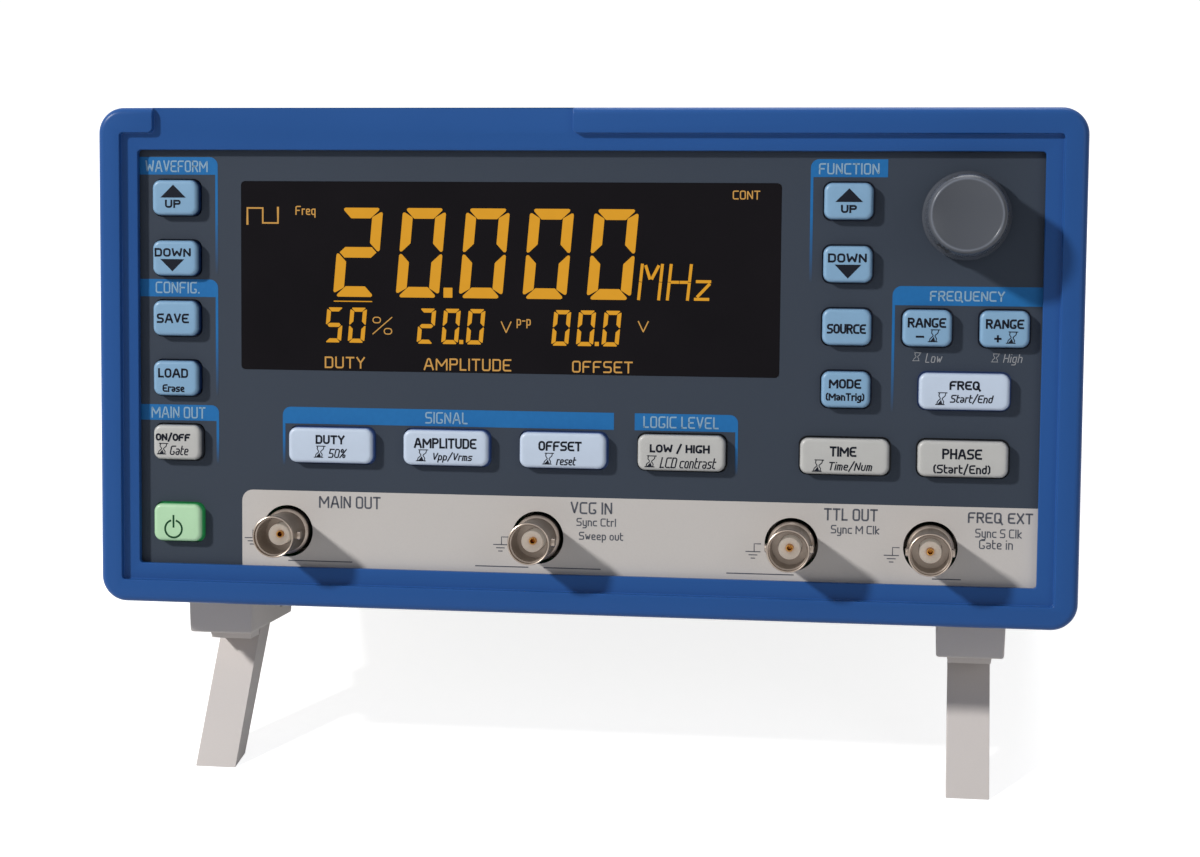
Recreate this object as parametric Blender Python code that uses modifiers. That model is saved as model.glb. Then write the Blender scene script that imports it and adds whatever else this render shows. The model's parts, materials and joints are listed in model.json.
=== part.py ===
"""Bench function generator, in metres.

The instrument is built level in its own frame: x to the right, y from the bezel's front face into the
body, z up from the bezel's lower edge. An empty then tips it back, so that it stands on its two unfolded
front legs and on the heels of its rear feet.
"""

import math

import bmesh
import bpy
from mathutils import Matrix, Vector

MM = 0.001
X, Y, Z = 0, 1, 2
GAP = 0.3 * MM  # between pieces that touch
PAST = 2.0 * MM  # how far a cutter runs past what it cuts

# Front bezel: a raised rim, a ledge inside it, and a lip that covers the panel's edge
WIDTH = 227.0 * MM
HEIGHT = 116.0 * MM
BEZEL_DEPTH = 14.0 * MM
BEZEL_CORNER = 6.0 * MM
BEZEL_EDGE = 1.8 * MM
BEZEL_WALL = 2.2 * MM
RIM_SIDE = 5.3 * MM
RIM_END = 5.8 * MM
LEDGE_DEPTH = 1.5 * MM
LEDGE_WIDTH = 3.9 * MM
OPENING_CORNER = 0.8 * MM
LABEL_LEFT = -100.2 * MM
LABEL_RIGHT = -1.2 * MM

# Panel, in plane behind the bezel's lip
PANEL_FRONT = 3.4 * MM
PANEL_THICK = 1.8 * MM
PANEL_OVERLAP = 2.7 * MM
PANEL_BACK = PANEL_FRONT + PANEL_THICK
OPENING_X = WIDTH / 2 - RIM_SIDE - LEDGE_WIDTH
OPENING_LOW = RIM_SIDE + LEDGE_WIDTH
OPENING_HIGH = HEIGHT - RIM_END - LEDGE_WIDTH

# Display
WINDOW_LEFT = -79.9 * MM
WINDOW_RIGHT = 46.1 * MM
WINDOW_LOW = 55.3 * MM
WINDOW_HIGH = 99.2 * MM
WINDOW_CORNER = 1.0 * MM
WINDOW_THICK = 1.5 * MM
WINDOW_SINK = 0.2 * MM
MODULE_MARGIN = 2.5 * MM
MODULE_CORNER = 1.5 * MM
MODULE_RIM = Vector((4.0, 0, 3.0)) * MM
GLASS_SINK = 1.0 * MM
BOARD_FRONT = 12.0 * MM
BOARD_THICK = 1.6 * MM
BOARD_EDGE = 3.0 * MM  # how far the keypad board reaches past the bezel's opening

# Keys
KEY_STAND = 2.4 * MM  # how far a key's face stands out of the panel
KEY_TRAVEL = 0.8 * MM
KEY_CORNER = 1.7 * MM
KEY_EDGE = 0.9 * MM
KEY_HEIGHT = 8.2 * MM
KEY_NARROW = 11.0 * MM
KEY_BROAD = 11.6 * MM
KEY_WIDE = 20.1 * MM
POWER_HEIGHT = 8.8 * MM
KEY_CLEAR = 0.35 * MM
FLANGE_WIDTH = 1.0 * MM
FLANGE_THICK = 1.0 * MM
PLUNGER_RADIUS = 1.5 * MM
SWITCH_SIZE = 6.0 * MM
SWITCH_TOP = 10.4 * MM
TOP_ROW = 95.2 * MM
ROW_PITCH = 14.05 * MM
WIDE_ROW = 37.95 * MM
POWER_ROW = 19.0 * MM
LEFT_COLUMN = -95.2 * MM
OUTPUT_COLUMN = -94.95 * MM
FUNCTION_COLUMN = 61.15 * MM
RANGE_COLUMNS = (79.0 * MM, 96.05 * MM)
SIGNAL_START = -57.9 * MM
SIGNAL_PITCH = 27.37 * MM
PHASE_COLUMN = 87.45 * MM

# Knob and encoder
KNOB_X = 87.3 * MM
KNOB_Z = 92.1 * MM
KNOB_HEIGHT = 15.3 * MM
KNOB_SKIRT = 9.9 * MM
KNOB_WAIST = 9.3 * MM
KNOB_FACE = 8.7 * MM
KNOB_LIFT = 0.6 * MM
KNOB_WALL = 1.5 * MM
KNOB_RIDGE = 0.8 * MM  # of the raised ring round the face, from the face's edge
KNOB_DISH = 0.35 * MM
KNOB_ROUND = 0.7 * MM
SKIRT_LIP = 0.3 * MM
SKIRT_TOP = 2.6 * MM
SKIRT_BLEND = 3.4 * MM
KNOB_ROOF = 2.4 * MM
BOSS_WALL = 1.6 * MM
GROOVE_RADIUS = 0.55 * MM
GROOVE_CENTRE = 9.25 * MM
GROOVE_ANGLES = (-5.0, 115.0, 235.0)
GROOVE_SPREAD = 7.0
GROOVE_END = 4.2 * MM
SHAFT_RADIUS = 3.0 * MM
SHAFT_TIP = 0.5 * MM
SHAFT_SEAT = 1.0 * MM
SHAFT_HOLE = 4.0 * MM
ENCODER_SIZE = 12.5 * MM
ENCODER_CORNER = 1.0 * MM

# BNC sockets; heights are measured forwards from the panel's front
SOCKETS_X = (-68.8 * MM, -9.2 * MM, 49.4 * MM, 80.7 * MM)
SOCKETS_Z = 17.45 * MM
SOCKET_HOLE = 6.1 * MM
SHELL_RADIUS = 4.85 * MM
SHELL_BORE = 4.15 * MM
SHELL_REACH = 12.3 * MM
SHELL_FLOOR = 3.3 * MM
SHELL_LIP = 0.35 * MM
SHELL_FOOT = 1.4 * MM
NECK_RADIUS = 5.3 * MM
NECK_TOP = 1.0 * MM
NECK_SEAT = 1.0 * MM
NECK_CLEAR = 0.9 * MM
LUG_RADIUS = 1.0 * MM
LUG_ROOT = 0.4 * MM
LUG_REACH = 5.5 * MM
LUG_HEIGHT = 7.7 * MM
DIELECTRIC_RADIUS = 2.35 * MM
DIELECTRIC_TOP = 7.3 * MM
DISH_RADIUS = 1.9 * MM
DISH_DEPTH = 0.8 * MM
CONTACT_RADIUS = 0.95 * MM
CONTACT_BORE = 0.6 * MM
CONTACT_DEPTH = 5.0 * MM
CONTACT_SINK = 0.4 * MM
JACK_SIZE = 14.0 * MM
JACK_FRONT = 14.6 * MM
JACK_BACK = 28.0 * MM

# Case halves
CASE_INSET = 1.0 * MM
CASE_WALL = 2.5 * MM
CASE_CORNER = 5.0 * MM
CASE_FRONT = BEZEL_DEPTH + GAP
CASE_BACK = 180.0 * MM
CASE_SPLIT = 52.0 * MM
TONGUE_FRONT = 9.5 * MM
REAR_FRONT = 172.5 * MM
REAR_THICK = 2.5 * MM
REAR_SEAT = 1.6 * MM
SEAT_DEPTH = 2.0 * MM
SEAT_LAP = 1.0 * MM
POST_X = 105.2 * MM
POSTS_Y = (24.0 * MM, 160.0 * MM)
POST_RADIUS = 3.6 * MM
POST_END = 8.3 * MM
POST_BORE = 14.0 * MM
BOSS_RADIUS = 4.6 * MM
STANDOFF_RADIUS = 3.0 * MM
STANDOFFS_Y = (34.6 * MM, 157.0 * MM)
SCREW_RADIUS = 1.4 * MM
SCREW_HEAD = 2.7 * MM
SCREW_SINK = 0.5 * MM
SINK_DEPTH = 3.0 * MM
SHANK_LENGTH = 10.0 * MM
CROSS_HALF = 1.5 * MM
CROSS_THIN = 0.3 * MM
CROSS_DEPTH = 0.8 * MM
SIDE_SLOTS = 9
SIDE_SLOT_PITCH = 8.0 * MM
SIDE_SLOT_SPAN = (68.0 * MM, 96.0 * MM)
FLOOR_SLOT_SPAN = (80.0 * MM, 110.0 * MM)
SLOT_WIDTH = 2.2 * MM
SLOT_REACH = 6.0 * MM
REAR_SLOTS = 12
REAR_SLOT_PITCH = 6.0 * MM
REAR_SLOT_SPAN = (40.0 * MM, 84.0 * MM)
REAR_SLOTS_X = -40.0 * MM

# Circuit board and what stands on it
MAIN_X = 98.0 * MM
MAIN_FRONT = 14.6 * MM
MAIN_BACK = 165.0 * MM
MAIN_LOW = 8.0 * MM
MAIN_TOP = MAIN_LOW + BOARD_THICK
STANDOFF_X = MAIN_X - 8.0 * MM
PARTS_LOW = MAIN_TOP + GAP
CORE_LOW = Vector((5.0 * MM, 106.0 * MM, PARTS_LOW))
CORE_SIZE = Vector((57.0, 20.0, 48.0)) * MM
WINDING_INSET = Vector((10.0, -10.0, 9.0)) * MM
WINDING_CORNER = 6.0 * MM
CORE_EDGE = 0.8 * MM
SINK_LEFT = -86.0 * MM
SINK_FRONT = 70.0 * MM
SINK_HEIGHT = 36.0 * MM
SINK_BASE = 4.0 * MM
FINS = 9
FIN_PITCH = 5.0 * MM
FIN_THICK = 1.6 * MM
FIN_DEPTH = 20.0 * MM

# Mains inlet, seen from behind
INLET_X = 72.0 * MM
INLET_Z = 40.0 * MM
INLET_FLANGE = Vector((31.0, 2.0, 46.0)) * MM
INLET_CORNER = 2.5 * MM
INLET_BODY = Vector((27.0, 21.0, 40.0)) * MM
SOCKET_SIZE = Vector((24.2, 16.5, 16.2)) * MM
SOCKET_RAISE = 8.6 * MM
SOCKET_CHAMFER = 4.5 * MM
BLADE = Vector((2.0, 12.0, 4.0)) * MM
BLADE_ROOT = 1.0 * MM
BLADE_PITCH = 7.0 * MM
BLADE_DROP = 1.5 * MM
EARTH_RAISE = 4.0 * MM
DRAWER_SIZE = Vector((21.0, 17.0, 6.4)) * MM
DRAWER_DROP = 12.0 * MM
PULL_REACH = 1.8 * MM
PULL_EDGE = 1.0 * MM
PULL_CORNER = 1.2 * MM
RAIL = Vector((1.2, 2.0, 1.0)) * MM  # groove along each side of the drawer

# Front feet: a housing under the case with a folding leg on a pin
FOOT_X = 90.33 * MM
FOOT_WIDTH = 16.3 * MM
FOOT_DRAFT = 0.96  # width at the lower face over width at the case
FOOT_FRONT = 19.3 * MM
FOOT_BACK = 54.2 * MM
FOOT_LOW = -10.1 * MM
FOOT_TOP = CASE_INSET - GAP
FOOT_EDGE = 0.6 * MM
PIVOT_Y = 44.3 * MM
PIVOT_Z = -5.4 * MM
PIN_RADIUS = 1.5 * MM
LEG_WIDTH = 10.0 * MM
LEG_LEAN = math.radians(34.16)  # of the unfolded leg from upright, towards the front
LEG_LENGTH = 47.1 * MM
LEG_HALF = 3.7 * MM
LEG_TOE_HALF = 2.0 * MM
BARREL_RADIUS = 4.1 * MM
BARREL_CLEAR = 0.4 * MM
PIN_SINK = 0.1 * MM  # of the pin's ends inside the housing's sides

# The stop: a hopper under the housing, which narrows to the leg's width and meets the unfolded leg
STOP_DROP = 2.7 * MM
STOP_TOP = 1.0 * MM  # how far it is sunk into the housing
STOP_WIDTH = 11.2 * MM
STOP_FRONT = 27.3 * MM
STOP_SLOPE = 0.6 * MM  # how far its front and sides come in on the way down

# Rear feet, as tall as the front housings, so that the folded instrument stands level
REAR_FOOT_FRONT = 148.0 * MM
REAR_FOOT_BACK = 172.0 * MM
REAR_FOOT_RAKE = 1.0 * MM
HEEL_START = 163.0 * MM

# Directions along and across the unfolded leg, in the plane of y and z
ALONG = Vector((-math.sin(LEG_LEAN), -math.cos(LEG_LEAN)))
ACROSS = Vector((-math.cos(LEG_LEAN), math.sin(LEG_LEAN)))
PIVOT = Vector((PIVOT_Y, PIVOT_Z))
TOE = PIVOT + ALONG * LEG_LENGTH + ACROSS * LEG_HALF
TILT = math.atan2(FOOT_LOW - TOE.y, HEEL_START - TOE.x)
FLOOR = Vector((math.cos(TILT), math.sin(TILT)))

FACING_FRONT = (math.radians(90), 0, 0)  # turns a local z axis to point out of the panel


def clear_scene():
    for old in list(bpy.data.objects):
        bpy.data.objects.remove(old, do_unlink=True)


clear_scene()
PARTS = bpy.data.collections.new("function_generator")
CUTTERS = bpy.data.collections.new("cutters")
bpy.context.scene.collection.children.link(PARTS)
bpy.context.scene.collection.children.link(CUTTERS)
STAND = bpy.data.objects.new("stand", None)
PARTS.objects.link(STAND)


# ---------------------------------------------------------------- materials


def finish(name, colour, roughness, metallic=0.0):
    material = bpy.data.materials.new(name)
    material.use_nodes = True
    shader = material.node_tree.nodes["Principled BSDF"]
    shader.inputs["Base Color"].default_value = (*colour, 1.0)
    shader.inputs["Roughness"].default_value = roughness
    shader.inputs["Metallic"].default_value = metallic
    return material


BEZEL_BLUE = finish("bezel_blue_plastic", (0.028, 0.098, 0.305), 0.4)
PANEL_SLATE = finish("panel_slate_film", (0.05, 0.066, 0.086), 0.55)
WINDOW_SMOKE = finish("smoked_window", (0.012, 0.01, 0.012), 0.15)
MODULE_GREY = finish("display_module_tin", (0.45, 0.46, 0.47), 0.4, 0.8)
KEY_BLUE = finish("key_pale_blue", (0.27, 0.42, 0.6), 0.4)
KEY_LIT = finish("key_lit_white", (0.6, 0.7, 0.86), 0.4)
KEY_BEIGE = finish("key_beige", (0.5, 0.5, 0.44), 0.45)
KEY_GREEN = finish("key_power_green", (0.3, 0.82, 0.38), 0.4)
KNOB_GREY = finish("knob_grey_plastic", (0.13, 0.14, 0.145), 0.4)
STEEL = finish("plated_steel", (0.55, 0.54, 0.52), 0.3, 1.0)
NICKEL = finish("nickel_plated_brass", (0.62, 0.58, 0.53), 0.25, 1.0)
DIELECTRIC = finish("white_dielectric", (0.8, 0.74, 0.66), 0.5)
GOLD = finish("gold_plated_contact", (0.8, 0.5, 0.18), 0.25, 1.0)
CASE_GREY = finish("case_grey_plastic", (0.52, 0.51, 0.49), 0.6)
REAR_GREY = finish("rear_panel_grey", (0.3, 0.3, 0.3), 0.55)
FOOT_GREY = finish("foot_grey_plastic", (0.56, 0.53, 0.51), 0.55)
INLET_BLACK = finish("inlet_black_plastic", (0.02, 0.02, 0.02), 0.45)
DRAWER_BLACK = finish("drawer_black_plastic", (0.03, 0.03, 0.03), 0.5)
ENCODER_BLACK = finish("encoder_black_plastic", (0.025, 0.025, 0.03), 0.5)
BOARD_GREEN = finish("board_green_laminate", (0.02, 0.16, 0.06), 0.45)
CORE_STEEL = finish("transformer_core", (0.2, 0.2, 0.21), 0.55, 0.6)
HEATSINK = finish("extruded_aluminium", (0.6, 0.61, 0.62), 0.35, 1.0)


# ---------------------------------------------------------------- shaping tools


def cube(low, high, origin=(0, 0, 0)):
    """A bmesh box between two corners, measured from the origin of the object it is for."""
    bm = bmesh.new()
    bmesh.ops.create_cube(bm, size=1.0)
    low = Vector(low) - Vector(origin)
    high = Vector(high) - Vector(origin)
    bmesh.ops.scale(bm, vec=high - low, verts=bm.verts)
    bmesh.ops.translate(bm, vec=(high + low) / 2, verts=bm.verts)
    return bm


def edges_along(bm, axis):
    return [edge for edge in bm.edges if is_along(edge, axis)]


def is_along(edge, axis):
    run = edge.verts[1].co - edge.verts[0].co
    return abs(run.normalized()[axis]) > 0.999


def edges_at(bm, axis, place):
    return [edge for edge in bm.edges if all(abs(v.co[axis] - place) < GAP / 10 for v in edge.verts)]


def round_edges(bm, edges, radius, steps):
    bmesh.ops.bevel(bm, geom=edges, offset=radius, segments=steps, profile=0.5, affect="EDGES")


def place(name, mesh, material=None, origin=(0, 0, 0), rotation=(0, 0, 0)):
    """Puts a mesh in the scene: among the parts when it has a material, and otherwise as a cutter."""
    obj = bpy.data.objects.new(name, mesh)
    obj.parent = STAND
    obj.location = origin
    obj.rotation_euler = rotation
    if material:
        PARTS.objects.link(obj)
        mesh.materials.append(material)
        mesh.shade_smooth()
        mesh.set_sharp_from_angle(angle=math.radians(28))
    else:
        CUTTERS.objects.link(obj)
        obj.hide_render = True
        obj.display_type = "WIRE"
    return obj


def from_bmesh(name, bm, material=None, origin=(0, 0, 0), rotation=(0, 0, 0)):
    mesh = bpy.data.meshes.new(name)
    bm.to_mesh(mesh)
    bm.free()
    return place(name, mesh, material, origin, rotation)


def block(name, low, high, material=None, origin=(0, 0, 0), corner=0, axis=Y, steps=4):
    """A box, with the edges along one axis rounded if it has a corner radius."""
    bm = cube(low, high, origin)
    if corner:
        round_edges(bm, edges_along(bm, axis), corner, steps)
    return from_bmesh(name, bm, material, origin)


def cylinder_bm(radius, start, end, centre, axis, sides):
    """A closed bmesh cylinder along an axis, from start to end on it."""
    bm = bmesh.new()
    bmesh.ops.create_cone(
        bm, cap_ends=True, segments=sides, radius1=radius, radius2=radius, depth=end - start
    )
    turn = {X: Matrix.Rotation(math.pi / 2, 3, "Y"), Y: Matrix.Rotation(-math.pi / 2, 3, "X")}
    if axis in turn:
        bmesh.ops.rotate(bm, cent=(0, 0, 0), matrix=turn[axis], verts=bm.verts)
    middle = Vector(centre)
    middle[axis] = (start + end) / 2
    bmesh.ops.translate(bm, vec=middle, verts=bm.verts)
    return bm


def cylinder(name, radius, start, end, centre, axis, material=None, origin=(0, 0, 0), sides=16):
    bm = cylinder_bm(radius, start, end, centre, axis, sides)
    bmesh.ops.translate(bm, vec=-Vector(origin), verts=bm.verts)
    return from_bmesh(name, bm, material, origin)


def turned(name, profile, material, origin, steps, ring=False):
    """A profile of (radius, height) points, from the front down the outside, turned about the y axis."""
    mesh = bpy.data.meshes.new(name)
    edges = [(i, i + 1) for i in range(len(profile) - 1)]
    if ring:
        edges.append((len(profile) - 1, 0))
    mesh.from_pydata([(radius, 0, height) for radius, height in profile], edges, [])
    obj = place(name, mesh, material, origin, FACING_FRONT)
    screw = obj.modifiers.new("turn", "SCREW")
    screw.steps = steps
    screw.render_steps = steps
    screw.use_merge_vertices = True
    screw.merge_threshold = 0.01 * MM
    screw.use_smooth_shade = True
    return obj


def extruded(name, outline, start, end, axis, material=None, origin=(0, 0, 0)):
    """A flat outline extruded along an axis. It is drawn in (y, z), (x, z) or (x, y) for x, y or z."""
    curve = bpy.data.curves.new(name, "CURVE")
    curve.dimensions = "2D"
    curve.fill_mode = "BOTH"
    curve.extrude = (end - start) / 2
    spline = curve.splines.new("POLY")
    spline.points.add(len(outline) - 1)
    for point, (u, v) in zip(spline.points, outline):
        point.co = (u, v, 0, 1)
    spline.use_cyclic_u = True
    guide = bpy.data.objects.new(name + "_guide", curve)
    CUTTERS.objects.link(guide)
    turns = {X: (math.pi / 2, 0, math.pi / 2), Y: (math.pi / 2, 0, 0), Z: (0, 0, 0)}
    guide.rotation_euler = turns[axis]
    guide.location[axis] = (start + end) / 2
    bpy.context.view_layer.update()
    graph = bpy.context.evaluated_depsgraph_get()
    mesh = bpy.data.meshes.new_from_object(guide.evaluated_get(graph))
    mesh.transform(guide.matrix_world)
    mesh.materials.clear()
    bpy.data.objects.remove(guide)
    bm = bmesh.new()
    bm.from_mesh(mesh)
    bpy.data.meshes.remove(mesh)
    bmesh.ops.remove_doubles(bm, verts=bm.verts, dist=0.01 * MM)
    bmesh.ops.recalc_face_normals(bm, faces=bm.faces)
    bmesh.ops.translate(bm, vec=-Vector(origin), verts=bm.verts)
    return from_bmesh(name, bm, material, origin)


def together(name, pieces):
    """Separate closed cutters as one cutter object."""
    bpy.context.view_layer.update()
    graph = bpy.context.evaluated_depsgraph_get()
    to_stand = STAND.matrix_world.inverted()
    bm = bmesh.new()
    for piece in pieces:
        mesh = bpy.data.meshes.new_from_object(piece.evaluated_get(graph))
        mesh.transform(to_stand @ piece.matrix_world)
        bm.from_mesh(mesh)
        bpy.data.objects.remove(piece)
        bpy.data.meshes.remove(mesh)
    return from_bmesh(name, bm)


def boolean(piece, other, operation):
    modifier = piece.modifiers.new(operation.lower() + " " + other.name, "BOOLEAN")
    modifier.operation = operation
    modifier.object = other
    modifier.solver = "EXACT"


def cut(piece, *cutters):
    for cutter in cutters:
        boolean(piece, cutter, "DIFFERENCE")


def join(piece, *others):
    for other in others:
        boolean(piece, other, "UNION")


def bevel(piece, radius, steps=2):
    modifier = piece.modifiers.new("bevel", "BEVEL")
    modifier.width = radius
    modifier.segments = steps
    modifier.limit_method = "ANGLE"
    modifier.angle_limit = math.radians(40)


def arc(centre, radius, start, end, steps):
    """Points on an arc, from one angle in degrees to another."""
    angles = [math.radians(start + (end - start) * i / steps) for i in range(steps + 1)]
    return [(centre[0] + radius * math.cos(a), centre[1] + radius * math.sin(a)) for a in angles]


def angle_of(vector):
    return math.degrees(math.atan2(vector[1], vector[0]))


# ---------------------------------------------------------------- front


def key_places():
    """Name, centre x, centre z, width, height and material of each key."""
    rows = [TOP_ROW - ROW_PITCH * i for i in range(4)]
    left = ("key_wave_up", "key_wave_down", "key_save", "key_load")
    function = ("key_function_up", "key_function_down", "key_source", "key_mode")
    keys = []
    for name, z in zip(left, rows):
        keys.append((name, LEFT_COLUMN, z, KEY_NARROW, KEY_HEIGHT, KEY_BLUE))
    for name, z in zip(function, rows):
        keys.append((name, FUNCTION_COLUMN, z, KEY_NARROW, KEY_HEIGHT, KEY_BLUE))
    for name, x in zip(("key_range_down", "key_range_up"), RANGE_COLUMNS):
        keys.append((name, x, rows[2], KEY_NARROW, KEY_HEIGHT, KEY_BLUE))
    keys.append(("key_frequency", PHASE_COLUMN, rows[3], KEY_WIDE, KEY_HEIGHT, KEY_LIT))
    signal = ("key_duty", "key_amplitude", "key_offset", "key_logic_level")
    for i, name in enumerate(signal):
        material = KEY_BEIGE if name == "key_logic_level" else KEY_LIT
        x = SIGNAL_START + SIGNAL_PITCH * i
        keys.append((name, x, WIDE_ROW, KEY_WIDE, KEY_HEIGHT, material))
    keys.append(("key_time", FUNCTION_COLUMN, WIDE_ROW, KEY_WIDE, KEY_HEIGHT, KEY_BEIGE))
    keys.append(("key_phase", PHASE_COLUMN, WIDE_ROW, KEY_WIDE, KEY_HEIGHT, KEY_BEIGE))
    keys.append(("key_output", OUTPUT_COLUMN, WIDE_ROW, KEY_BROAD, KEY_HEIGHT, KEY_BEIGE))
    keys.append(("key_power", OUTPUT_COLUMN, POWER_ROW, KEY_BROAD, POWER_HEIGHT, KEY_GREEN))
    return keys


def make_bezel():
    """One moulding: rim, ledge, bare label recess, lip and a skirt that holds the case's tongue."""
    bm = cube((-WIDTH / 2, 0, 0), (WIDTH / 2, BEZEL_DEPTH, HEIGHT))
    round_edges(bm, edges_along(bm, Y), BEZEL_CORNER, 6)
    round_edges(bm, edges_at(bm, Y, 0), BEZEL_EDGE, 3)
    bezel = from_bmesh("front_bezel", bm, BEZEL_BLUE)
    side = WIDTH / 2 - RIM_SIDE
    top = HEIGHT - RIM_END
    step = [
        (-side, RIM_SIDE),
        (side, RIM_SIDE),
        (side, top),
        (LABEL_RIGHT, top),
        (LABEL_RIGHT, HEIGHT + PAST),
        (LABEL_LEFT, HEIGHT + PAST),
        (LABEL_LEFT, top),
        (-side, top),
    ]
    ledge = extruded("ledge_cutter", step, -PAST, LEDGE_DEPTH, Y)
    opening = block(
        "opening_cutter",
        (-OPENING_X, -PAST, OPENING_LOW),
        (OPENING_X, BEZEL_DEPTH / 2, OPENING_HIGH),
        corner=OPENING_CORNER,
        steps=2,
    )
    inside = block(
        "skirt_cutter",
        (-WIDTH / 2 + BEZEL_WALL, PANEL_FRONT - GAP, BEZEL_WALL),
        (WIDTH / 2 - BEZEL_WALL, BEZEL_DEPTH + PAST, HEIGHT - BEZEL_WALL),
        corner=BEZEL_CORNER - BEZEL_WALL,
    )
    cut(bezel, ledge, opening, inside)
    return bezel


def make_panel(keys):
    panel = block(
        "front_panel",
        (-OPENING_X - PANEL_OVERLAP, PANEL_FRONT, OPENING_LOW - PANEL_OVERLAP),
        (OPENING_X + PANEL_OVERLAP, PANEL_BACK, OPENING_HIGH + PANEL_OVERLAP),
        PANEL_SLATE,
        corner=PANEL_OVERLAP,
        steps=2,
    )
    through = (PANEL_FRONT - PAST, PANEL_BACK + PAST)
    holes = [
        block(
            "window_hole",
            (WINDOW_LEFT, through[0], WINDOW_LOW),
            (WINDOW_RIGHT, through[1], WINDOW_HIGH),
            corner=WINDOW_CORNER,
            steps=2,
        )
    ]
    for name, x, z, width, height, _ in keys:
        half = Vector((width / 2 + KEY_CLEAR, 0, height / 2 + KEY_CLEAR))
        centre = Vector((x, 0, z))
        low = centre - half + Vector((0, through[0], 0))
        high = centre + half + Vector((0, through[1], 0))
        holes.append(block(name + "_hole", low, high, corner=KEY_CORNER, steps=2))
    for x in SOCKETS_X:
        holes.append(cylinder("socket_hole", SOCKET_HOLE, *through, (x, 0, SOCKETS_Z), Y, sides=20))
    holes.append(cylinder("shaft_hole", SHAFT_HOLE, *through, (KNOB_X, 0, KNOB_Z), Y))
    cut(panel, together("panel_holes", holes))
    return panel


def make_window():
    front = PANEL_FRONT + WINDOW_SINK
    return block(
        "display_window",
        (WINDOW_LEFT + GAP, front, WINDOW_LOW + GAP),
        (WINDOW_RIGHT - GAP, front + WINDOW_THICK, WINDOW_HIGH - GAP),
        WINDOW_SMOKE,
        corner=WINDOW_CORNER - GAP,
        steps=2,
    )


def make_lcd_module():
    """A flat can whose front rim frames the glass behind the window."""
    low = Vector((WINDOW_LEFT - MODULE_MARGIN, PANEL_BACK + GAP, WINDOW_LOW - MODULE_MARGIN))
    high = Vector((WINDOW_RIGHT + MODULE_MARGIN, BOARD_FRONT - GAP, WINDOW_HIGH + MODULE_MARGIN))
    module = block("lcd_module", low, high, MODULE_GREY, corner=MODULE_CORNER, steps=2)
    glass = block("glass_cutter", low + MODULE_RIM - Vector((0, PAST, 0)), high - MODULE_RIM)
    glass.location.y = low.y - high.y + GLASS_SINK
    cut(module, glass)
    return module


KEY_SHAPES = {}


def key_mesh(width, height):
    """Cap, retaining flange and plunger in one piece, measured from the middle of the cap's face."""
    if (width, height) in KEY_SHAPES:
        return KEY_SHAPES[width, height]
    flange_front = KEY_STAND + PANEL_THICK + GAP
    flange_back = flange_front + FLANGE_THICK
    bm = cube((-width / 2, 0, -height / 2), (width / 2, flange_back - FLANGE_THICK / 2, height / 2))
    round_edges(bm, edges_along(bm, Y), KEY_CORNER, 3)
    round_edges(bm, edges_at(bm, Y, 0), KEY_EDGE, 2)
    cap = from_bmesh("key_cap", bm)
    half_x = width / 2 + FLANGE_WIDTH
    half_z = height / 2 + FLANGE_WIDTH
    flange = block("key_flange", (-half_x, flange_front, -half_z), (half_x, flange_back, half_z))
    plunger_end = SWITCH_TOP - KEY_TRAVEL - GAP - (PANEL_FRONT - KEY_STAND)
    plunger = cylinder(
        "key_plunger", PLUNGER_RADIUS, flange_front + FLANGE_THICK / 2, plunger_end, (0, 0, 0), Y, sides=10
    )
    join(cap, flange, plunger)
    bpy.context.view_layer.update()
    graph = bpy.context.evaluated_depsgraph_get()
    mesh = bpy.data.meshes.new_from_object(cap.evaluated_get(graph))
    for helper in (cap, flange, plunger):
        bpy.data.objects.remove(helper)
    KEY_SHAPES[width, height] = mesh
    return mesh


def make_keys(keys):
    """Each key's origin is the middle of its face, on the line that it slides along."""
    for name, x, z, width, height, material in keys:
        mesh = key_mesh(width, height).copy()
        place(name, mesh, material, (x, PANEL_FRONT - KEY_STAND, z))


def make_keypad_board(keys):
    board = block(
        "keypad_board",
        (-OPENING_X, BOARD_FRONT, OPENING_LOW - BOARD_EDGE),
        (OPENING_X, BOARD_FRONT + BOARD_THICK, OPENING_HIGH + BOARD_EDGE),
        BOARD_GREEN,
    )
    half = SWITCH_SIZE / 2
    switches = []
    for name, x, z, _, _, _ in keys:
        low = (x - half, SWITCH_TOP, z - half)
        high = (x + half, BOARD_FRONT + BOARD_THICK / 2, z + half)
        switches.append(block(name + "_switch", low, high))
    join(board, together("tact_switches", switches))
    span = (BOARD_FRONT - PAST, BOARD_FRONT + BOARD_THICK + PAST)
    clear = NECK_RADIUS + NECK_CLEAR
    holes = [cylinder("neck_hole", clear, *span, (x, 0, SOCKETS_Z), Y) for x in SOCKETS_X]
    cut(board, together("neck_holes", holes))
    return board


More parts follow.
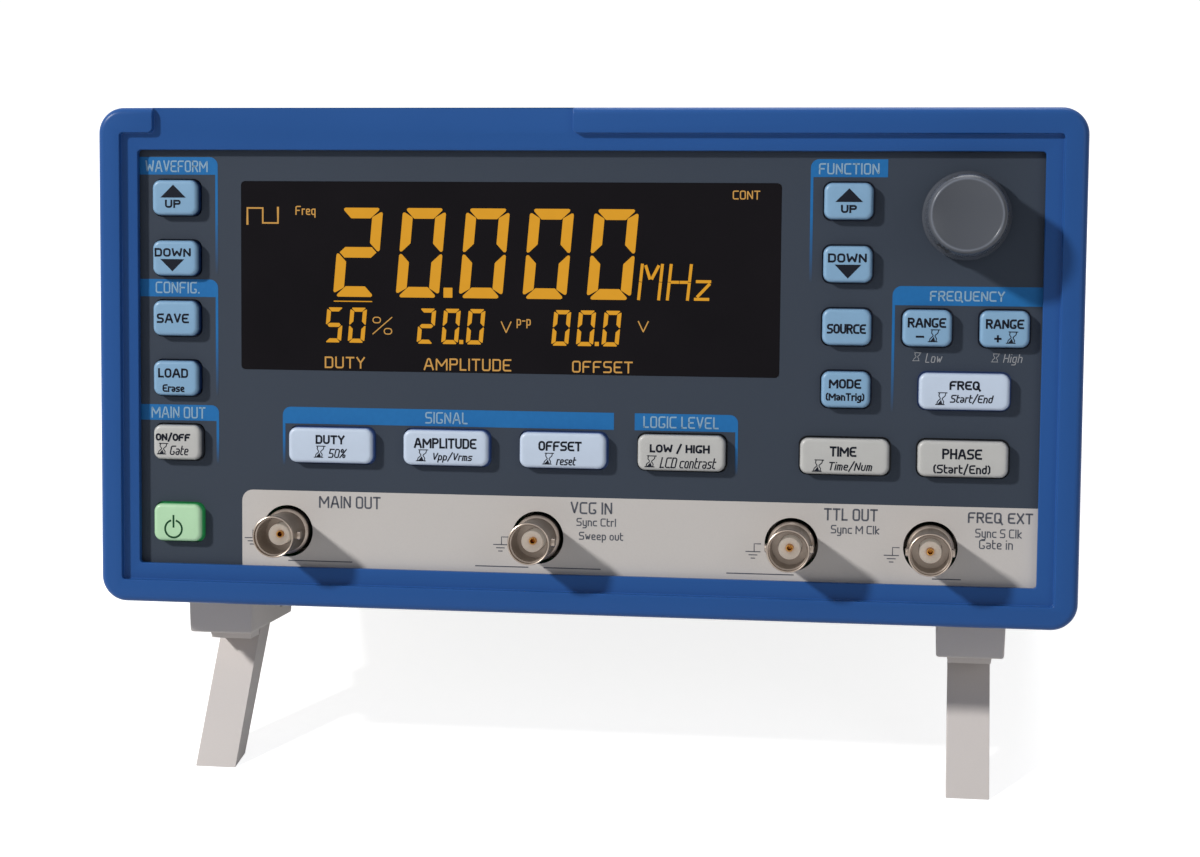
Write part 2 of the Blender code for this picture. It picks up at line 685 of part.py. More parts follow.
def make_knob():
    """A hollow moulded cap on a centre boss, with three groups of grip grooves down its side."""
    top = KNOB_HEIGHT
    roof = top - KNOB_ROOF
    boss = SHAFT_RADIUS + GAP
    profile = [
        (0, top - KNOB_DISH),
        (KNOB_FACE - KNOB_WALL, top - KNOB_DISH),
        (KNOB_FACE - KNOB_RIDGE, top),
        (KNOB_FACE - KNOB_DISH, top - KNOB_DISH / 2),
        (KNOB_FACE, top - KNOB_ROUND),
        (KNOB_WAIST, SKIRT_BLEND),
        (KNOB_SKIRT, SKIRT_TOP),
        (KNOB_SKIRT, KNOB_LIFT + SKIRT_LIP),
        (KNOB_SKIRT - SKIRT_LIP, KNOB_LIFT),
        (KNOB_WAIST - KNOB_WALL, KNOB_LIFT),
        (KNOB_FACE - KNOB_WALL, roof),
        (boss + BOSS_WALL, roof),
        (boss + BOSS_WALL, KNOB_LIFT),
        (boss, KNOB_LIFT),
        (boss, roof),
        (0, roof),
    ]
    centre = (KNOB_X, PANEL_FRONT, KNOB_Z)
    knob = turned("knob", profile, KNOB_GREY, centre, 32)
    front = PANEL_FRONT - KNOB_HEIGHT - PAST
    back = PANEL_FRONT - GROOVE_END
    grooves = []
    for middle in GROOVE_ANGLES:
        for turn in (-GROOVE_SPREAD, 0, GROOVE_SPREAD):
            angle = math.radians(middle + turn)
            x = KNOB_X + GROOVE_CENTRE * math.cos(angle)
            z = KNOB_Z + GROOVE_CENTRE * math.sin(angle)
            grooves.append(cylinder("groove", GROOVE_RADIUS, front, back, (x, 0, z), Y, sides=8))
    cut(knob, together("grip_grooves", grooves))
    return knob


def make_encoder():
    centre = (KNOB_X, PANEL_FRONT, KNOB_Z)
    shaft_top = KNOB_HEIGHT - KNOB_ROOF - GAP
    shaft_end = PANEL_FRONT + SHAFT_SEAT - BOARD_FRONT
    profile = [
        (0, shaft_top),
        (SHAFT_RADIUS - SHAFT_TIP, shaft_top),
        (SHAFT_RADIUS, shaft_top - SHAFT_TIP),
        (SHAFT_RADIUS, shaft_end),
        (0, shaft_end),
    ]
    turned("encoder_shaft", profile, STEEL, centre, 20)
    half = ENCODER_SIZE / 2
    body = block(
        "encoder_body",
        (KNOB_X - half, PANEL_BACK + GAP, KNOB_Z - half),
        (KNOB_X + half, BOARD_FRONT - GAP, KNOB_Z + half),
        ENCODER_BLACK,
        corner=ENCODER_CORNER,
        steps=2,
    )
    clear = SHAFT_RADIUS + GAP
    bore = cylinder("shaft_bore", clear, 0, BOARD_FRONT + PAST, (KNOB_X, 0, KNOB_Z), Y, sides=20)
    cut(body, bore)


def make_socket(number, x):
    """A bayonet shell with two lugs on a square jack body, its white dielectric and its contact."""
    centre = (x, PANEL_FRONT, SOCKETS_Z)
    neck_end = PANEL_FRONT - JACK_FRONT - NECK_SEAT
    bore = DIELECTRIC_RADIUS + GAP
    shell = turned(
        f"bnc_shell_{number}",
        [
            (SHELL_RADIUS - SHELL_LIP, SHELL_REACH),
            (SHELL_RADIUS, SHELL_REACH - SHELL_LIP),
            (SHELL_RADIUS, SHELL_FOOT),
            (NECK_RADIUS, NECK_TOP),
            (NECK_RADIUS, neck_end),
            (bore, neck_end),
            (bore, SHELL_FLOOR),
            (SHELL_BORE, SHELL_FLOOR),
            (SHELL_BORE, SHELL_REACH - SHELL_LIP),
            (SHELL_BORE + SHELL_LIP / 2, SHELL_REACH),
        ],
        NICKEL,
        centre,
        20,
        ring=True,
    )
    lug_y = PANEL_FRONT - LUG_HEIGHT
    inner = SHELL_RADIUS - LUG_ROOT
    lugs = [
        cylinder("lug", LUG_RADIUS, x - LUG_REACH, x - inner, (0, lug_y, SOCKETS_Z), X, sides=10),
        cylinder("lug", LUG_RADIUS, x + inner, x + LUG_REACH, (0, lug_y, SOCKETS_Z), X, sides=10),
    ]
    half = JACK_SIZE / 2
    jack = block(
        f"jack_body_{number}",
        (x - half, JACK_FRONT, SOCKETS_Z - half),
        (x + half, JACK_BACK, SOCKETS_Z + half),
    )
    well_end = JACK_FRONT + NECK_SEAT
    well = cylinder("well", bore, JACK_FRONT - PAST, well_end, (x, 0, SOCKETS_Z), Y, sides=20)
    cut(jack, well)
    join(shell, together(f"lugs_{number}", lugs), jack)
    seat = neck_end + GAP
    turned(
        f"bnc_insulator_{number}",
        [
            (CONTACT_RADIUS + GAP, DIELECTRIC_TOP - DISH_DEPTH),
            (DISH_RADIUS, DIELECTRIC_TOP),
            (DIELECTRIC_RADIUS, DIELECTRIC_TOP),
            (DIELECTRIC_RADIUS, seat),
            (CONTACT_RADIUS + GAP, seat),
        ],
        DIELECTRIC,
        centre,
        14,
        ring=True,
    )
    turned(
        f"bnc_contact_{number}",
        [
            (0, DIELECTRIC_TOP - CONTACT_DEPTH),
            (CONTACT_BORE, DIELECTRIC_TOP - CONTACT_DEPTH),
            (CONTACT_BORE, DIELECTRIC_TOP - CONTACT_SINK),
            (CONTACT_RADIUS, DIELECTRIC_TOP - CONTACT_SINK),
            (CONTACT_RADIUS, seat),
            (0, seat),
        ],
        GOLD,
        centre,
        12,
    )


# ---------------------------------------------------------------- case


def case_tube(name, material):
    """The closed ring that both case halves are cut from: walls, tongue and the rear panel's seat."""
    side = WIDTH / 2 - CASE_INSET
    low = CASE_INSET
    high = HEIGHT - CASE_INSET
    tube = block(
        name, (-side, CASE_FRONT, low), (side, CASE_BACK, high), material, corner=CASE_CORNER, steps=4
    )
    tongue_inset = BEZEL_WALL + GAP
    tongue = block(
        name + "_tongue",
        (-WIDTH / 2 + tongue_inset, TONGUE_FRONT, tongue_inset),
        (WIDTH / 2 - tongue_inset, CASE_FRONT + PAST, HEIGHT - tongue_inset),
        corner=BEZEL_CORNER - tongue_inset,
    )
    join(tube, tongue)
    wall = CASE_INSET + CASE_WALL
    seat = wall + REAR_SEAT
    spans = (
        (TONGUE_FRONT - PAST, REAR_FRONT - SEAT_DEPTH, wall, "front"),
        (REAR_FRONT - SEAT_DEPTH - SEAT_LAP, REAR_FRONT + SEAT_LAP, seat, "seat"),
        (REAR_FRONT - GAP, CASE_BACK + PAST, wall, "back"),
    )
    for start, end, inset, label in spans:
        room = block(
            f"{name}_{label}_room",
            (-WIDTH / 2 + inset, start, inset),
            (WIDTH / 2 - inset, end, HEIGHT - inset),
            corner=CASE_CORNER - CASE_WALL + inset - wall,
            steps=3,
        )
        cut(tube, room)
    return tube


def half_space(name, low, high):
    reach = WIDTH
    return block(name, (-reach, -reach, low), (reach, 2 * reach, high))


def post_places():
    return [(side * POST_X, y) for side in (-1, 1) for y in POSTS_Y]


def make_top_cover():
    cover = case_tube("top_cover", CASE_GREY)
    cut(cover, half_space("below_split", -HEIGHT, CASE_SPLIT + GAP / 2))
    roof = HEIGHT - CASE_INSET - CASE_WALL / 2
    posts = [cylinder("post", POST_RADIUS, POST_END, roof, (x, y, 0), Z, sides=12) for x, y in post_places()]
    join(cover, together("screw_posts", posts))
    bore = SCREW_RADIUS + GAP
    bores = [
        cylinder("bore", bore, POST_END - PAST, POST_END + POST_BORE, (x, y, 0), Z, sides=10)
        for x, y in post_places()
    ]
    cut(cover, together("post_bores", bores))
    slots = []
    middle = (CASE_FRONT + CASE_BACK) / 2
    for side in (-1, 1):
        wall = side * WIDTH / 2
        for i in range(SIDE_SLOTS):
            y = middle + (i - (SIDE_SLOTS - 1) / 2) * SIDE_SLOT_PITCH
            low = (wall - SLOT_REACH, y - SLOT_WIDTH / 2, SIDE_SLOT_SPAN[0])
            high = (wall + SLOT_REACH, y + SLOT_WIDTH / 2, SIDE_SLOT_SPAN[1])
            slots.append(block("slot", low, high))
    cut(cover, together("side_slots", slots))
    return cover


def make_bottom_case():
    case = case_tube("bottom_case", CASE_GREY)
    cut(case, half_space("above_split", CASE_SPLIT - GAP / 2, 2 * HEIGHT))
    floor = CASE_INSET + CASE_WALL / 2
    bosses = [
        cylinder("boss", BOSS_RADIUS, floor, POST_END - GAP, (x, y, 0), Z, sides=12)
        for x, y in post_places()
    ]
    standoffs = [
        cylinder("standoff", STANDOFF_RADIUS, floor, MAIN_LOW - GAP, (x, y, 0), Z, sides=10)
        for x in (-STANDOFF_X, STANDOFF_X)
        for y in STANDOFFS_Y
    ]
    join(case, together("floor_posts", bosses + standoffs))
    hole = SCREW_RADIUS + GAP
    sink = SCREW_HEAD + GAP
    sink_end = CASE_INSET + SINK_DEPTH
    places = [(x, y, 0) for x, y in post_places()]
    holes = [cylinder("hole", hole, -PAST, POST_END + PAST, centre, Z, sides=12) for centre in places]
    sinks = [cylinder("sink", sink, -PAST, sink_end, centre, Z, sides=14) for centre in places]
    cut(case, together("screw_holes", holes))
    cut(case, together("screw_sinks", sinks))
    slots = []
    for i in range(SIDE_SLOTS):
        x = (i - (SIDE_SLOTS - 1) / 2) * SIDE_SLOT_PITCH
        low = (x - SLOT_WIDTH / 2, FLOOR_SLOT_SPAN[0], -PAST)
        high = (x + SLOT_WIDTH / 2, FLOOR_SLOT_SPAN[1], SLOT_REACH)
        slots.append(block("slot", low, high))
    cut(case, together("floor_slots", slots))
    return case


def make_screws():
    """Cross-head screws, from below into the upper half's posts."""
    head_low = CASE_INSET + SCREW_SINK
    head_top = CASE_INSET + SINK_DEPTH - GAP
    shank_end = POST_END + SHANK_LENGTH
    for number, (x, y) in enumerate(post_places(), 1):
        centre = (x, y, 0)
        screw = cylinder(f"case_screw_{number}", SCREW_HEAD, head_low, head_top, centre, Z, STEEL, sides=14)
        join(screw, cylinder("shank", SCREW_RADIUS, head_top - GAP, shank_end, centre, Z, sides=10))
        for half_x, half_y in ((CROSS_HALF, CROSS_THIN), (CROSS_THIN, CROSS_HALF)):
            low = (x - half_x, y - half_y, 0)
            high = (x + half_x, y + half_y, head_low + CROSS_DEPTH)
            cut(screw, block("cross", low, high))


def make_rear_panel():
    wall = CASE_INSET + CASE_WALL + GAP
    panel = block(
        "rear_panel",
        (-WIDTH / 2 + wall, REAR_FRONT, wall),
        (WIDTH / 2 - wall, REAR_FRONT + REAR_THICK, HEIGHT - wall),
        REAR_GREY,
        corner=CASE_CORNER - CASE_WALL,
        steps=3,
    )
    span = (REAR_FRONT - PAST, REAR_FRONT + REAR_THICK + PAST)
    half_x = INLET_BODY.x / 2 + GAP
    half_z = INLET_BODY.z / 2 + GAP
    low = (INLET_X - half_x, span[0], INLET_Z - half_z)
    high = (INLET_X + half_x, span[1], INLET_Z + half_z)
    holes = [block("inlet_hole", low, high)]
    for i in range(REAR_SLOTS):
        x = REAR_SLOTS_X + (i - (REAR_SLOTS - 1) / 2) * REAR_SLOT_PITCH
        low = (x - SLOT_WIDTH / 2, span[0], REAR_SLOT_SPAN[0])
        high = (x + SLOT_WIDTH / 2, span[1], REAR_SLOT_SPAN[1])
        holes.append(block("slot", low, high))
    cut(panel, together("rear_holes", holes))
    return panel


def inlet_face():
    return REAR_FRONT + REAR_THICK + GAP + INLET_FLANGE.y


def make_inlet():
    """Flanged socket with three blades over a tunnel for the fuse drawer."""
    face = inlet_face()
    flange = INLET_FLANGE / 2
    body = INLET_BODY / 2
    inlet = block(
        "mains_inlet",
        (INLET_X - flange.x, face - INLET_FLANGE.y, INLET_Z - flange.z),
        (INLET_X + flange.x, face, INLET_Z + flange.z),
        INLET_BLACK,
        corner=INLET_CORNER,
        steps=3,
    )
    back = face - INLET_FLANGE.y - INLET_BODY.y
    low = (INLET_X - body.x, back, INLET_Z - body.z)
    high = (INLET_X + body.x, face - INLET_FLANGE.y / 2, INLET_Z + body.z)
    join(inlet, block("inlet_body", low, high))
    half = SOCKET_SIZE / 2
    middle = INLET_Z + SOCKET_RAISE
    outline = [
        (INLET_X - half.x, middle - half.z),
        (INLET_X + half.x, middle - half.z),
        (INLET_X + half.x, middle + half.z - SOCKET_CHAMFER),
        (INLET_X + half.x - SOCKET_CHAMFER, middle + half.z),
        (INLET_X - half.x + SOCKET_CHAMFER, middle + half.z),
        (INLET_X - half.x, middle + half.z - SOCKET_CHAMFER),
    ]
    floor = face - SOCKET_SIZE.y
    cut(inlet, extruded("socket_cutter", outline, floor, face + PAST, Y))
    drawer = DRAWER_SIZE / 2
    drawer_z = INLET_Z - DRAWER_DROP
    low = (INLET_X - drawer.x - GAP, face - DRAWER_SIZE.y - GAP, drawer_z - drawer.z - GAP)
    high = (INLET_X + drawer.x + GAP, face + PAST, drawer_z + drawer.z + GAP)
    cut(inlet, block("drawer_tunnel", low, high))
    blades = []
    for i in (-1, 0, 1):
        x = INLET_X + i * BLADE_PITCH
        z = middle - BLADE_DROP + (0 if i else EARTH_RAISE)
        low = (x - BLADE.x / 2, floor - BLADE_ROOT, z - BLADE.z / 2)
        high = (x + BLADE.x / 2, floor + BLADE.y, z + BLADE.z / 2)
        blades.append(block("blade", low, high))
    join(inlet, together("inlet_blades", blades))


def make_fuse_drawer():
    """A tray with a finger pull and a rail groove down each side. Its origin is on its sliding axis."""
    face = inlet_face()
    half = DRAWER_SIZE / 2
    middle = INLET_Z - DRAWER_DROP
    drawer = block(
        "fuse_drawer",
        (INLET_X - half.x, face - DRAWER_SIZE.y, middle - half.z),
        (INLET_X + half.x, face + PULL_REACH / 2, middle + half.z),
        DRAWER_BLACK,
        origin=(INLET_X, face, middle),
    )
    low = (INLET_X - half.x - PULL_EDGE, face + GAP, middle - half.z - PULL_EDGE)
    high = (INLET_X + half.x + PULL_EDGE, face + PULL_REACH, middle + half.z + PULL_EDGE)
    join(drawer, block("drawer_pull", low, high, corner=PULL_CORNER, steps=2))
    for side in (-1, 1):
        edge = INLET_X + side * half.x
        low = (edge - RAIL.x, face - DRAWER_SIZE.y - PAST, middle - RAIL.z)
        high = (edge + RAIL.x, face - RAIL.y, middle + RAIL.z)
        cut(drawer, block("drawer_rail", low, high))


# ---------------------------------------------------------------- inside


def make_main_board():
    return block("main_board", (-MAIN_X, MAIN_FRONT, MAIN_LOW), (MAIN_X, MAIN_BACK, MAIN_TOP), BOARD_GREEN)


def make_transformer():
    """A laminated core with its winding standing out of it front and back."""
    core = block("mains_transformer", CORE_LOW, CORE_LOW + CORE_SIZE, CORE_STEEL)
    low = CORE_LOW + WINDING_INSET
    high = CORE_LOW + CORE_SIZE - WINDING_INSET
    join(core, block("winding", low, high, corner=WINDING_CORNER, axis=Z))
    bevel(core, CORE_EDGE, 1)


def make_heatsink():
    """A comb of fins extruded upwards, facing the front."""
    root = SINK_FRONT + FIN_DEPTH
    outline = [(SINK_LEFT, root + SINK_BASE), (SINK_LEFT, SINK_FRONT)]
    for i in range(FINS):
        x = SINK_LEFT + i * FIN_PITCH
        outline.append((x + FIN_THICK, SINK_FRONT))
        if i < FINS - 1:
            outline.append((x + FIN_THICK, root))
            outline.append((x + FIN_PITCH, root))
            outline.append((x + FIN_PITCH, SINK_FRONT))
    outline.append((outline[-1][0], root + SINK_BASE))
    extruded("output_heatsink", outline, PARTS_LOW, PARTS_LOW + SINK_HEIGHT, Z, HEATSINK)


# ---------------------------------------------------------------- feet


def in_plane(along, across):
    return tuple(PIVOT + ALONG * along + ACROSS * across)


def make_leg(label, side):
    """The leg's outline: a barrel round the pin, straight faces and a sole that lies on the floor."""
    root = math.sqrt(BARREL_RADIUS**2 - LEG_HALF**2)
    start = angle_of(ALONG * root + ACROSS * LEG_HALF)
    end = angle_of(ALONG * root - ACROSS * LEG_HALF)
    sole = (LEG_HALF + LEG_TOE_HALF) / math.cos(LEG_LEAN + TILT)
    outline = arc(PIVOT, BARREL_RADIUS, start, end if end < start else end - 360, 10)
    outline += [tuple(TOE + FLOOR * sole), tuple(TOE)]
    x = side * FOOT_X
    origin = (x, PIVOT_Y, PIVOT_Z)
    half = LEG_WIDTH / 2
    leg = extruded(f"leg_{label}", outline, x - half, x + half, X, FOOT_GREY, origin)
    bore = PIN_RADIUS + GAP
    cut(leg, cylinder("leg_bore", bore, x - LEG_WIDTH, x + LEG_WIDTH, (0, *PIVOT), X))
    return leg


def make_stop(label, x):
    """The hopper under a housing: its back lies on the line where the unfolded leg's front face rests."""
    half = STOP_WIDTH / 2
    low = FOOT_LOW - STOP_DROP
    rest = in_plane(0, LEG_HALF + GAP)
    back = rest[0] + ALONG.x * (low - rest[1]) / ALONG.y
    bm = cube((x - half, STOP_FRONT, low), (x + half, back, FOOT_LOW + STOP_TOP))
    for vert in bm.verts:
        if vert.co.z < FOOT_LOW:
            vert.co.x -= math.copysign(STOP_SLOPE, vert.co.x - x)
            if vert.co.y < back - GAP:
                vert.co.y += STOP_SLOPE
    return from_bmesh(f"stop_{label}", bm)


def make_foot_housing(label, side):
    """A drafted block with a stop under it and a slot that lets the leg fold backwards."""
    x = side * FOOT_X
    half = FOOT_WIDTH / 2
    bm = cube((x - half, FOOT_FRONT, FOOT_LOW), (x + half, FOOT_BACK, FOOT_TOP))
    for vert in bm.verts:
        if vert.co.z < 0:
            vert.co.x = x + (vert.co.x - x) * FOOT_DRAFT
    low_edges = edges_at(bm, Z, FOOT_LOW)
    upright = [edge for edge in bm.edges if abs(edge.verts[0].co.z - edge.verts[1].co.z) > FOOT_TOP]
    round_edges(bm, low_edges + upright, FOOT_EDGE, 2)
    housing = from_bmesh(f"foot_housing_{label}", bm, FOOT_GREY)
    join(housing, make_stop(label, x))
    clear = BARREL_RADIUS + BARREL_CLEAR
    face = LEG_HALF + GAP
    root = math.sqrt(clear**2 - face**2)
    start = angle_of(ALONG * root + ACROSS * face)
    below = FOOT_LOW - STOP_DROP - PAST
    fall = (below - PIVOT_Z - ACROSS.y * face) / ALONG.y
    outline = [in_plane(fall, face)]
    outline += arc(PIVOT, clear, start, 90, 6)
    outline += [(FOOT_BACK + PAST, PIVOT_Z + clear), (FOOT_BACK + PAST, below)]
    width = LEG_WIDTH / 2 + GAP
    cut(housing, extruded(f"leg_slot_{label}", outline, x - width, x + width, X))
    bore = PIN_RADIUS + GAP
    cut(housing, cylinder("pin_bore", bore, x - FOOT_WIDTH, x + FOOT_WIDTH, (0, *PIVOT), X))
    return housing


def make_leg_pin(label, side):
    x = side * FOOT_X
    half = FOOT_WIDTH * FOOT_DRAFT / 2 - PIN_SINK
    return cylinder(f"leg_pin_{label}", PIN_RADIUS, x - half, x + half, (0, *PIVOT), X, STEEL)


def make_rear_foot(label, side):
    """A block whose bevelled heel lies flat on the floor when the front legs are unfolded."""
    x = side * FOOT_X
    half = FOOT_WIDTH / 2
    heel_rise = (REAR_FOOT_BACK - HEEL_START) * math.tan(TILT)
    outline = [
        (REAR_FOOT_FRONT, FOOT_TOP),
        (REAR_FOOT_FRONT + REAR_FOOT_RAKE, FOOT_LOW),
        (HEEL_START, FOOT_LOW),
        (REAR_FOOT_BACK, FOOT_LOW + heel_rise),
        (REAR_FOOT_BACK, FOOT_TOP),
    ]
    extruded(f"rear_foot_{label}", outline, x - half, x + half, X, FOOT_GREY)


def stand_up():
    """Tips the body back, and puts its lowest point on the floor and its middle over the origin."""
    STAND.rotation_euler = (-TILT, 0, 0)
    bpy.context.view_layer.update()
    graph = bpy.context.evaluated_depsgraph_get()
    corners = []
    for part in PARTS.objects:
        if part.type == "MESH":
            seen = part.evaluated_get(graph)
            corners += [seen.matrix_world @ vert.co for vert in seen.data.vertices]
    low = [min(corner[axis] for corner in corners) for axis in (X, Y, Z)]
    high = [max(corner[axis] for corner in corners) for axis in (X, Y, Z)]
    STAND.location = (-(low[X] + high[X]) / 2, -(low[Y] + high[Y]) / 2, -low[Z])


def main():
    keys = key_places()
    make_bezel()
    make_panel(keys)
    make_window()
    make_lcd_module()
    make_keys(keys)
    make_keypad_board(keys)
    make_knob()
    make_encoder()
    for number, x in enumerate(SOCKETS_X, 1):
        make_socket(number, x)
    make_top_cover()
    make_bottom_case()
    make_screws()
    make_rear_panel()
    make_inlet()
    make_fuse_drawer()
    make_main_board()
    make_transformer()
    make_heatsink()
    for label, side in (("left", -1), ("right", 1)):
        make_leg(label, side)
        make_foot_housing(label, side)
        make_leg_pin(label, side)
        make_rear_foot(label, side)
    stand_up()


main()
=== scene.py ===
# %% [markdown]
# # A bench function generator
#
# The solids of this instrument come from a CAD model: a moulded front bezel around a printed panel, a
# display, nineteen keys, a knob and four bayonet sockets, in a two-part case on folding legs. This
# notebook dresses them. It starts by loading them as a frame in which nothing may move or change size.

# %% Load the instrument
import json
import math

import bmesh
import bpy
from mathutils import Matrix, Vector


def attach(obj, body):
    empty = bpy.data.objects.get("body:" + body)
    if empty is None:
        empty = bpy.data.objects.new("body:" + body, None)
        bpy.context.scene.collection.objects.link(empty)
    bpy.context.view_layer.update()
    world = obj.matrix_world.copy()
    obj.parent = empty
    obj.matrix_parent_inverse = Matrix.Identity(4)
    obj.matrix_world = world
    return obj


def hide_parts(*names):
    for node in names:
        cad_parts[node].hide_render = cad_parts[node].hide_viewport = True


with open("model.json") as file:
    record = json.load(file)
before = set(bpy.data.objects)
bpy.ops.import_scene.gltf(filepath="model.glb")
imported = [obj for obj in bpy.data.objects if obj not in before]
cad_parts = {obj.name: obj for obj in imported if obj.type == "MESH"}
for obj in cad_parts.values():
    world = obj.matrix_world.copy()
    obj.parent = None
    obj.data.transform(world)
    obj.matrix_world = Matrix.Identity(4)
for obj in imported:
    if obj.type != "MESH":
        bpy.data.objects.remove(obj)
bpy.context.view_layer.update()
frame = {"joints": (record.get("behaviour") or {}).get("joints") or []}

# %% [markdown]
# ## The instrument's own axes
#
# The instrument leans back on its front legs, so none of its faces lies along the world's axes. It is
# far easier to draw a front panel upright. Everything below is therefore measured in the instrument's
# own millimetres: x to the right from the middle, y from the bezel's front into the body, z up from the
# bezel's lower edge. One matrix takes such a point to the world. Two facts of the frame settle it: the
# direction in which a key slides, and the point about which the knob turns.

# %% From the instrument's axes to the world
MM = 0.001
ROOT = "instrument"
KNOB = Vector((87.3, 3.4, 92.1)) * MM
joints = {joint["name"]: joint for joint in frame["joints"]}
inward = Vector(joints["key_power_press"]["axis"])
LEAN = math.atan2(-inward.z, inward.y)
TURN = Matrix.Rotation(-LEAN, 4, "X")
BODY = Matrix.Translation(Vector(joints["knob_turn"]["pos_m"]) - TURN @ KNOB) @ TURN
print(f"the instrument leans back by {math.degrees(LEAN):.2f} degrees")

# %% [markdown]
# ## Camera
#
# The picture is taken from the right of the middle and a little above it. The camera's place and the
# directions of its picture are known in the instrument's own axes, and the same matrix turns them.

# %% The camera
FOCAL_LENGTH = 67.87  # on a 36 mm sensor
EYE = Vector((80.389, -508.688, 82.254)) * MM
RIGHT = Vector((0.98925, 0.145958, 0.008899))
UP = Vector((-0.019807, 0.073446, 0.997103))
FORWARD = Vector((-0.144882, 0.986561, -0.075548))

camera_data = bpy.data.cameras.new("camera")
camera_data.lens = FOCAL_LENGTH
camera_data.sensor_width = 36
camera = bpy.data.objects.new("camera", camera_data)
axes = Matrix((RIGHT, UP, -FORWARD)).transposed().to_4x4()
camera.matrix_world = BODY @ Matrix.Translation(EYE) @ axes
bpy.context.scene.collection.objects.link(camera)
bpy.context.scene.camera = camera
bpy.context.scene.view_settings.view_transform = "Standard"
print("camera at", [round(value, 3) for value in camera.matrix_world.translation])

# %% [markdown]
# ## Sums in a node tree
#
# A material or a geometry recipe is a tree of nodes, and adding up in nodes is tedious to read. A small
# class stands for one output of a tree and knows how to add, subtract, multiply and divide, so that a
# mask reads as a formula. Every other node comes from one method, which takes the node's type, its
# settings and what goes into its sockets.


# %% A wire and a tree
def sums(operation, swapped=False):
    """A method that puts a math node between a wire and another value."""

    def method(self, other):
        first, second = (other, self) if swapped else (self, other)
        return self.tree.math(operation, first, second)

    return method


class Wire:
    """One output of a node tree, which can take part in a sum."""

    def __init__(self, tree, socket):
        self.tree = tree
        self.socket = socket

    __add__ = __radd__ = sums("ADD")
    __sub__ = sums("SUBTRACT")
    __rsub__ = sums("SUBTRACT", swapped=True)
    __mul__ = __rmul__ = sums("MULTIPLY")
    __truediv__ = sums("DIVIDE")
    __gt__ = sums("GREATER_THAN")


class Tree:
    """A node tree with one way to add a node to it."""

    def __init__(self, tree):
        self.tree = tree

    def add(self, kind, settings=None, numbered=None, output=0, **named):
        """One output of a new node. Its sockets are fed by number or, with _ for a space, by name."""
        node = self.tree.nodes.new(kind)
        for name, value in (settings or {}).items():
            setattr(node, name, value)
        for number, value in (numbered or {}).items():
            self.feed(value, node.inputs[number])
        for name, value in named.items():
            self.feed(value, node.inputs[name.replace("_", " ")])
        return Wire(self, node.outputs[output])

    def feed(self, value, socket):
        """Puts a constant, a wire or a list of wires into a socket."""
        if isinstance(value, (Wire, list)):
            for wire in value if isinstance(value, list) else [value]:
                self.tree.links.new(wire.socket, socket)
        else:
            socket.default_value = value

    def math(self, operation, *values, clamp=False):
        settings = {"operation": operation, "use_clamp": clamp}
        return self.add("ShaderNodeMath", settings, dict(enumerate(values)))

    def blend(self, amount, first, second):
        """A colour between two colours."""
        colours = {6: first, 7: second}
        return self.add("ShaderNodeMix", {"data_type": "RGBA"}, colours, output=2, Factor=amount)


print("trees can be written as sums")

# %% [markdown]
# ## Finishes
#
# Nearly everything on show is moulded plastic. Such a surface isn't flat grey or flat blue: its colour
# drifts a little over a hand's width, and the mould's spark-eroded skin gives it a grain that breaks up
# the gloss. A slow noise for the drift, a fine one for the grain and a bump from the grain say that.
# The patterns read the Object coordinates, which here are the world's, because every piece keeps its
# place in its mesh.


# %% Colours and the moulded finish
def srgb(red, green, blue):
    """A colour as it is read off a screen, in the linear values that a shader takes."""
    shares = [value / 255 for value in (red, green, blue)]
    linear = [c / 12.92 if c <= 0.04045 else ((c + 0.055) / 1.055) ** 2.4 for c in shares]
    return (*linear, 1.0)


def scaled(colour, factor):
    return tuple(min(1.0, channel * factor) for channel in colour[:3]) + (1.0,)


class Finish(Tree):
    """A material: a tree around one Principled shader."""

    def __init__(self, name, **constants):
        self.material = bpy.data.materials.new(name)
        self.material.use_nodes = True
        super().__init__(self.material.node_tree)
        self.shader = self.tree.nodes["Principled BSDF"]
        for socket, value in constants.items():
            self.shader.inputs[socket.replace("_", " ")].default_value = value

    def set(self, socket, value):
        self.feed(value, self.shader.inputs[socket])

    def place(self):
        return self.add("ShaderNodeTexCoord", output="Object")

    def upright_place(self):
        """The place in the instrument's own axes."""
        back = BODY.inverted()
        turns = back.to_euler()
        return self.add("ShaderNodeMapping", Vector=self.place(), Location=back.translation, Rotation=turns)

    def noise(self, scale, detail=2.0, where=None):
        return self.add("ShaderNodeTexNoise", Vector=where or self.place(), Scale=scale, Detail=detail)

    def wander(self, noise, colour, share):
        """The colour, a share darker or lighter as the noise says."""
        return self.blend(noise, scaled(colour, 1 - share), scaled(colour, 1 + share))

    def relief(self, height, depth):
        self.set("Normal", self.add("ShaderNodeBump", Height=height, Distance=depth, Strength=1.0))


def moulded(name, colour, roughness=0.45, grain=3200, depth=0.012, drift=0.06, gloss=0.15, **constants):
    """Plastic with the mould's grain: drift is how far the colour wanders, depth the grain's in mm."""
    finish = Finish(name, Specular_IOR_Level=gloss, **constants)
    slow = finish.noise(28, 3)
    fine = finish.noise(grain, 2)
    shade = finish.wander(slow, colour, drift)
    finish.set("Base Color", finish.blend(fine * 0.16, shade, scaled(colour, 0.72)))
    finish.set("Roughness", roughness - 0.06 + slow * 0.06 + fine * 0.06)
    finish.relief(fine, depth * MM)
    return finish


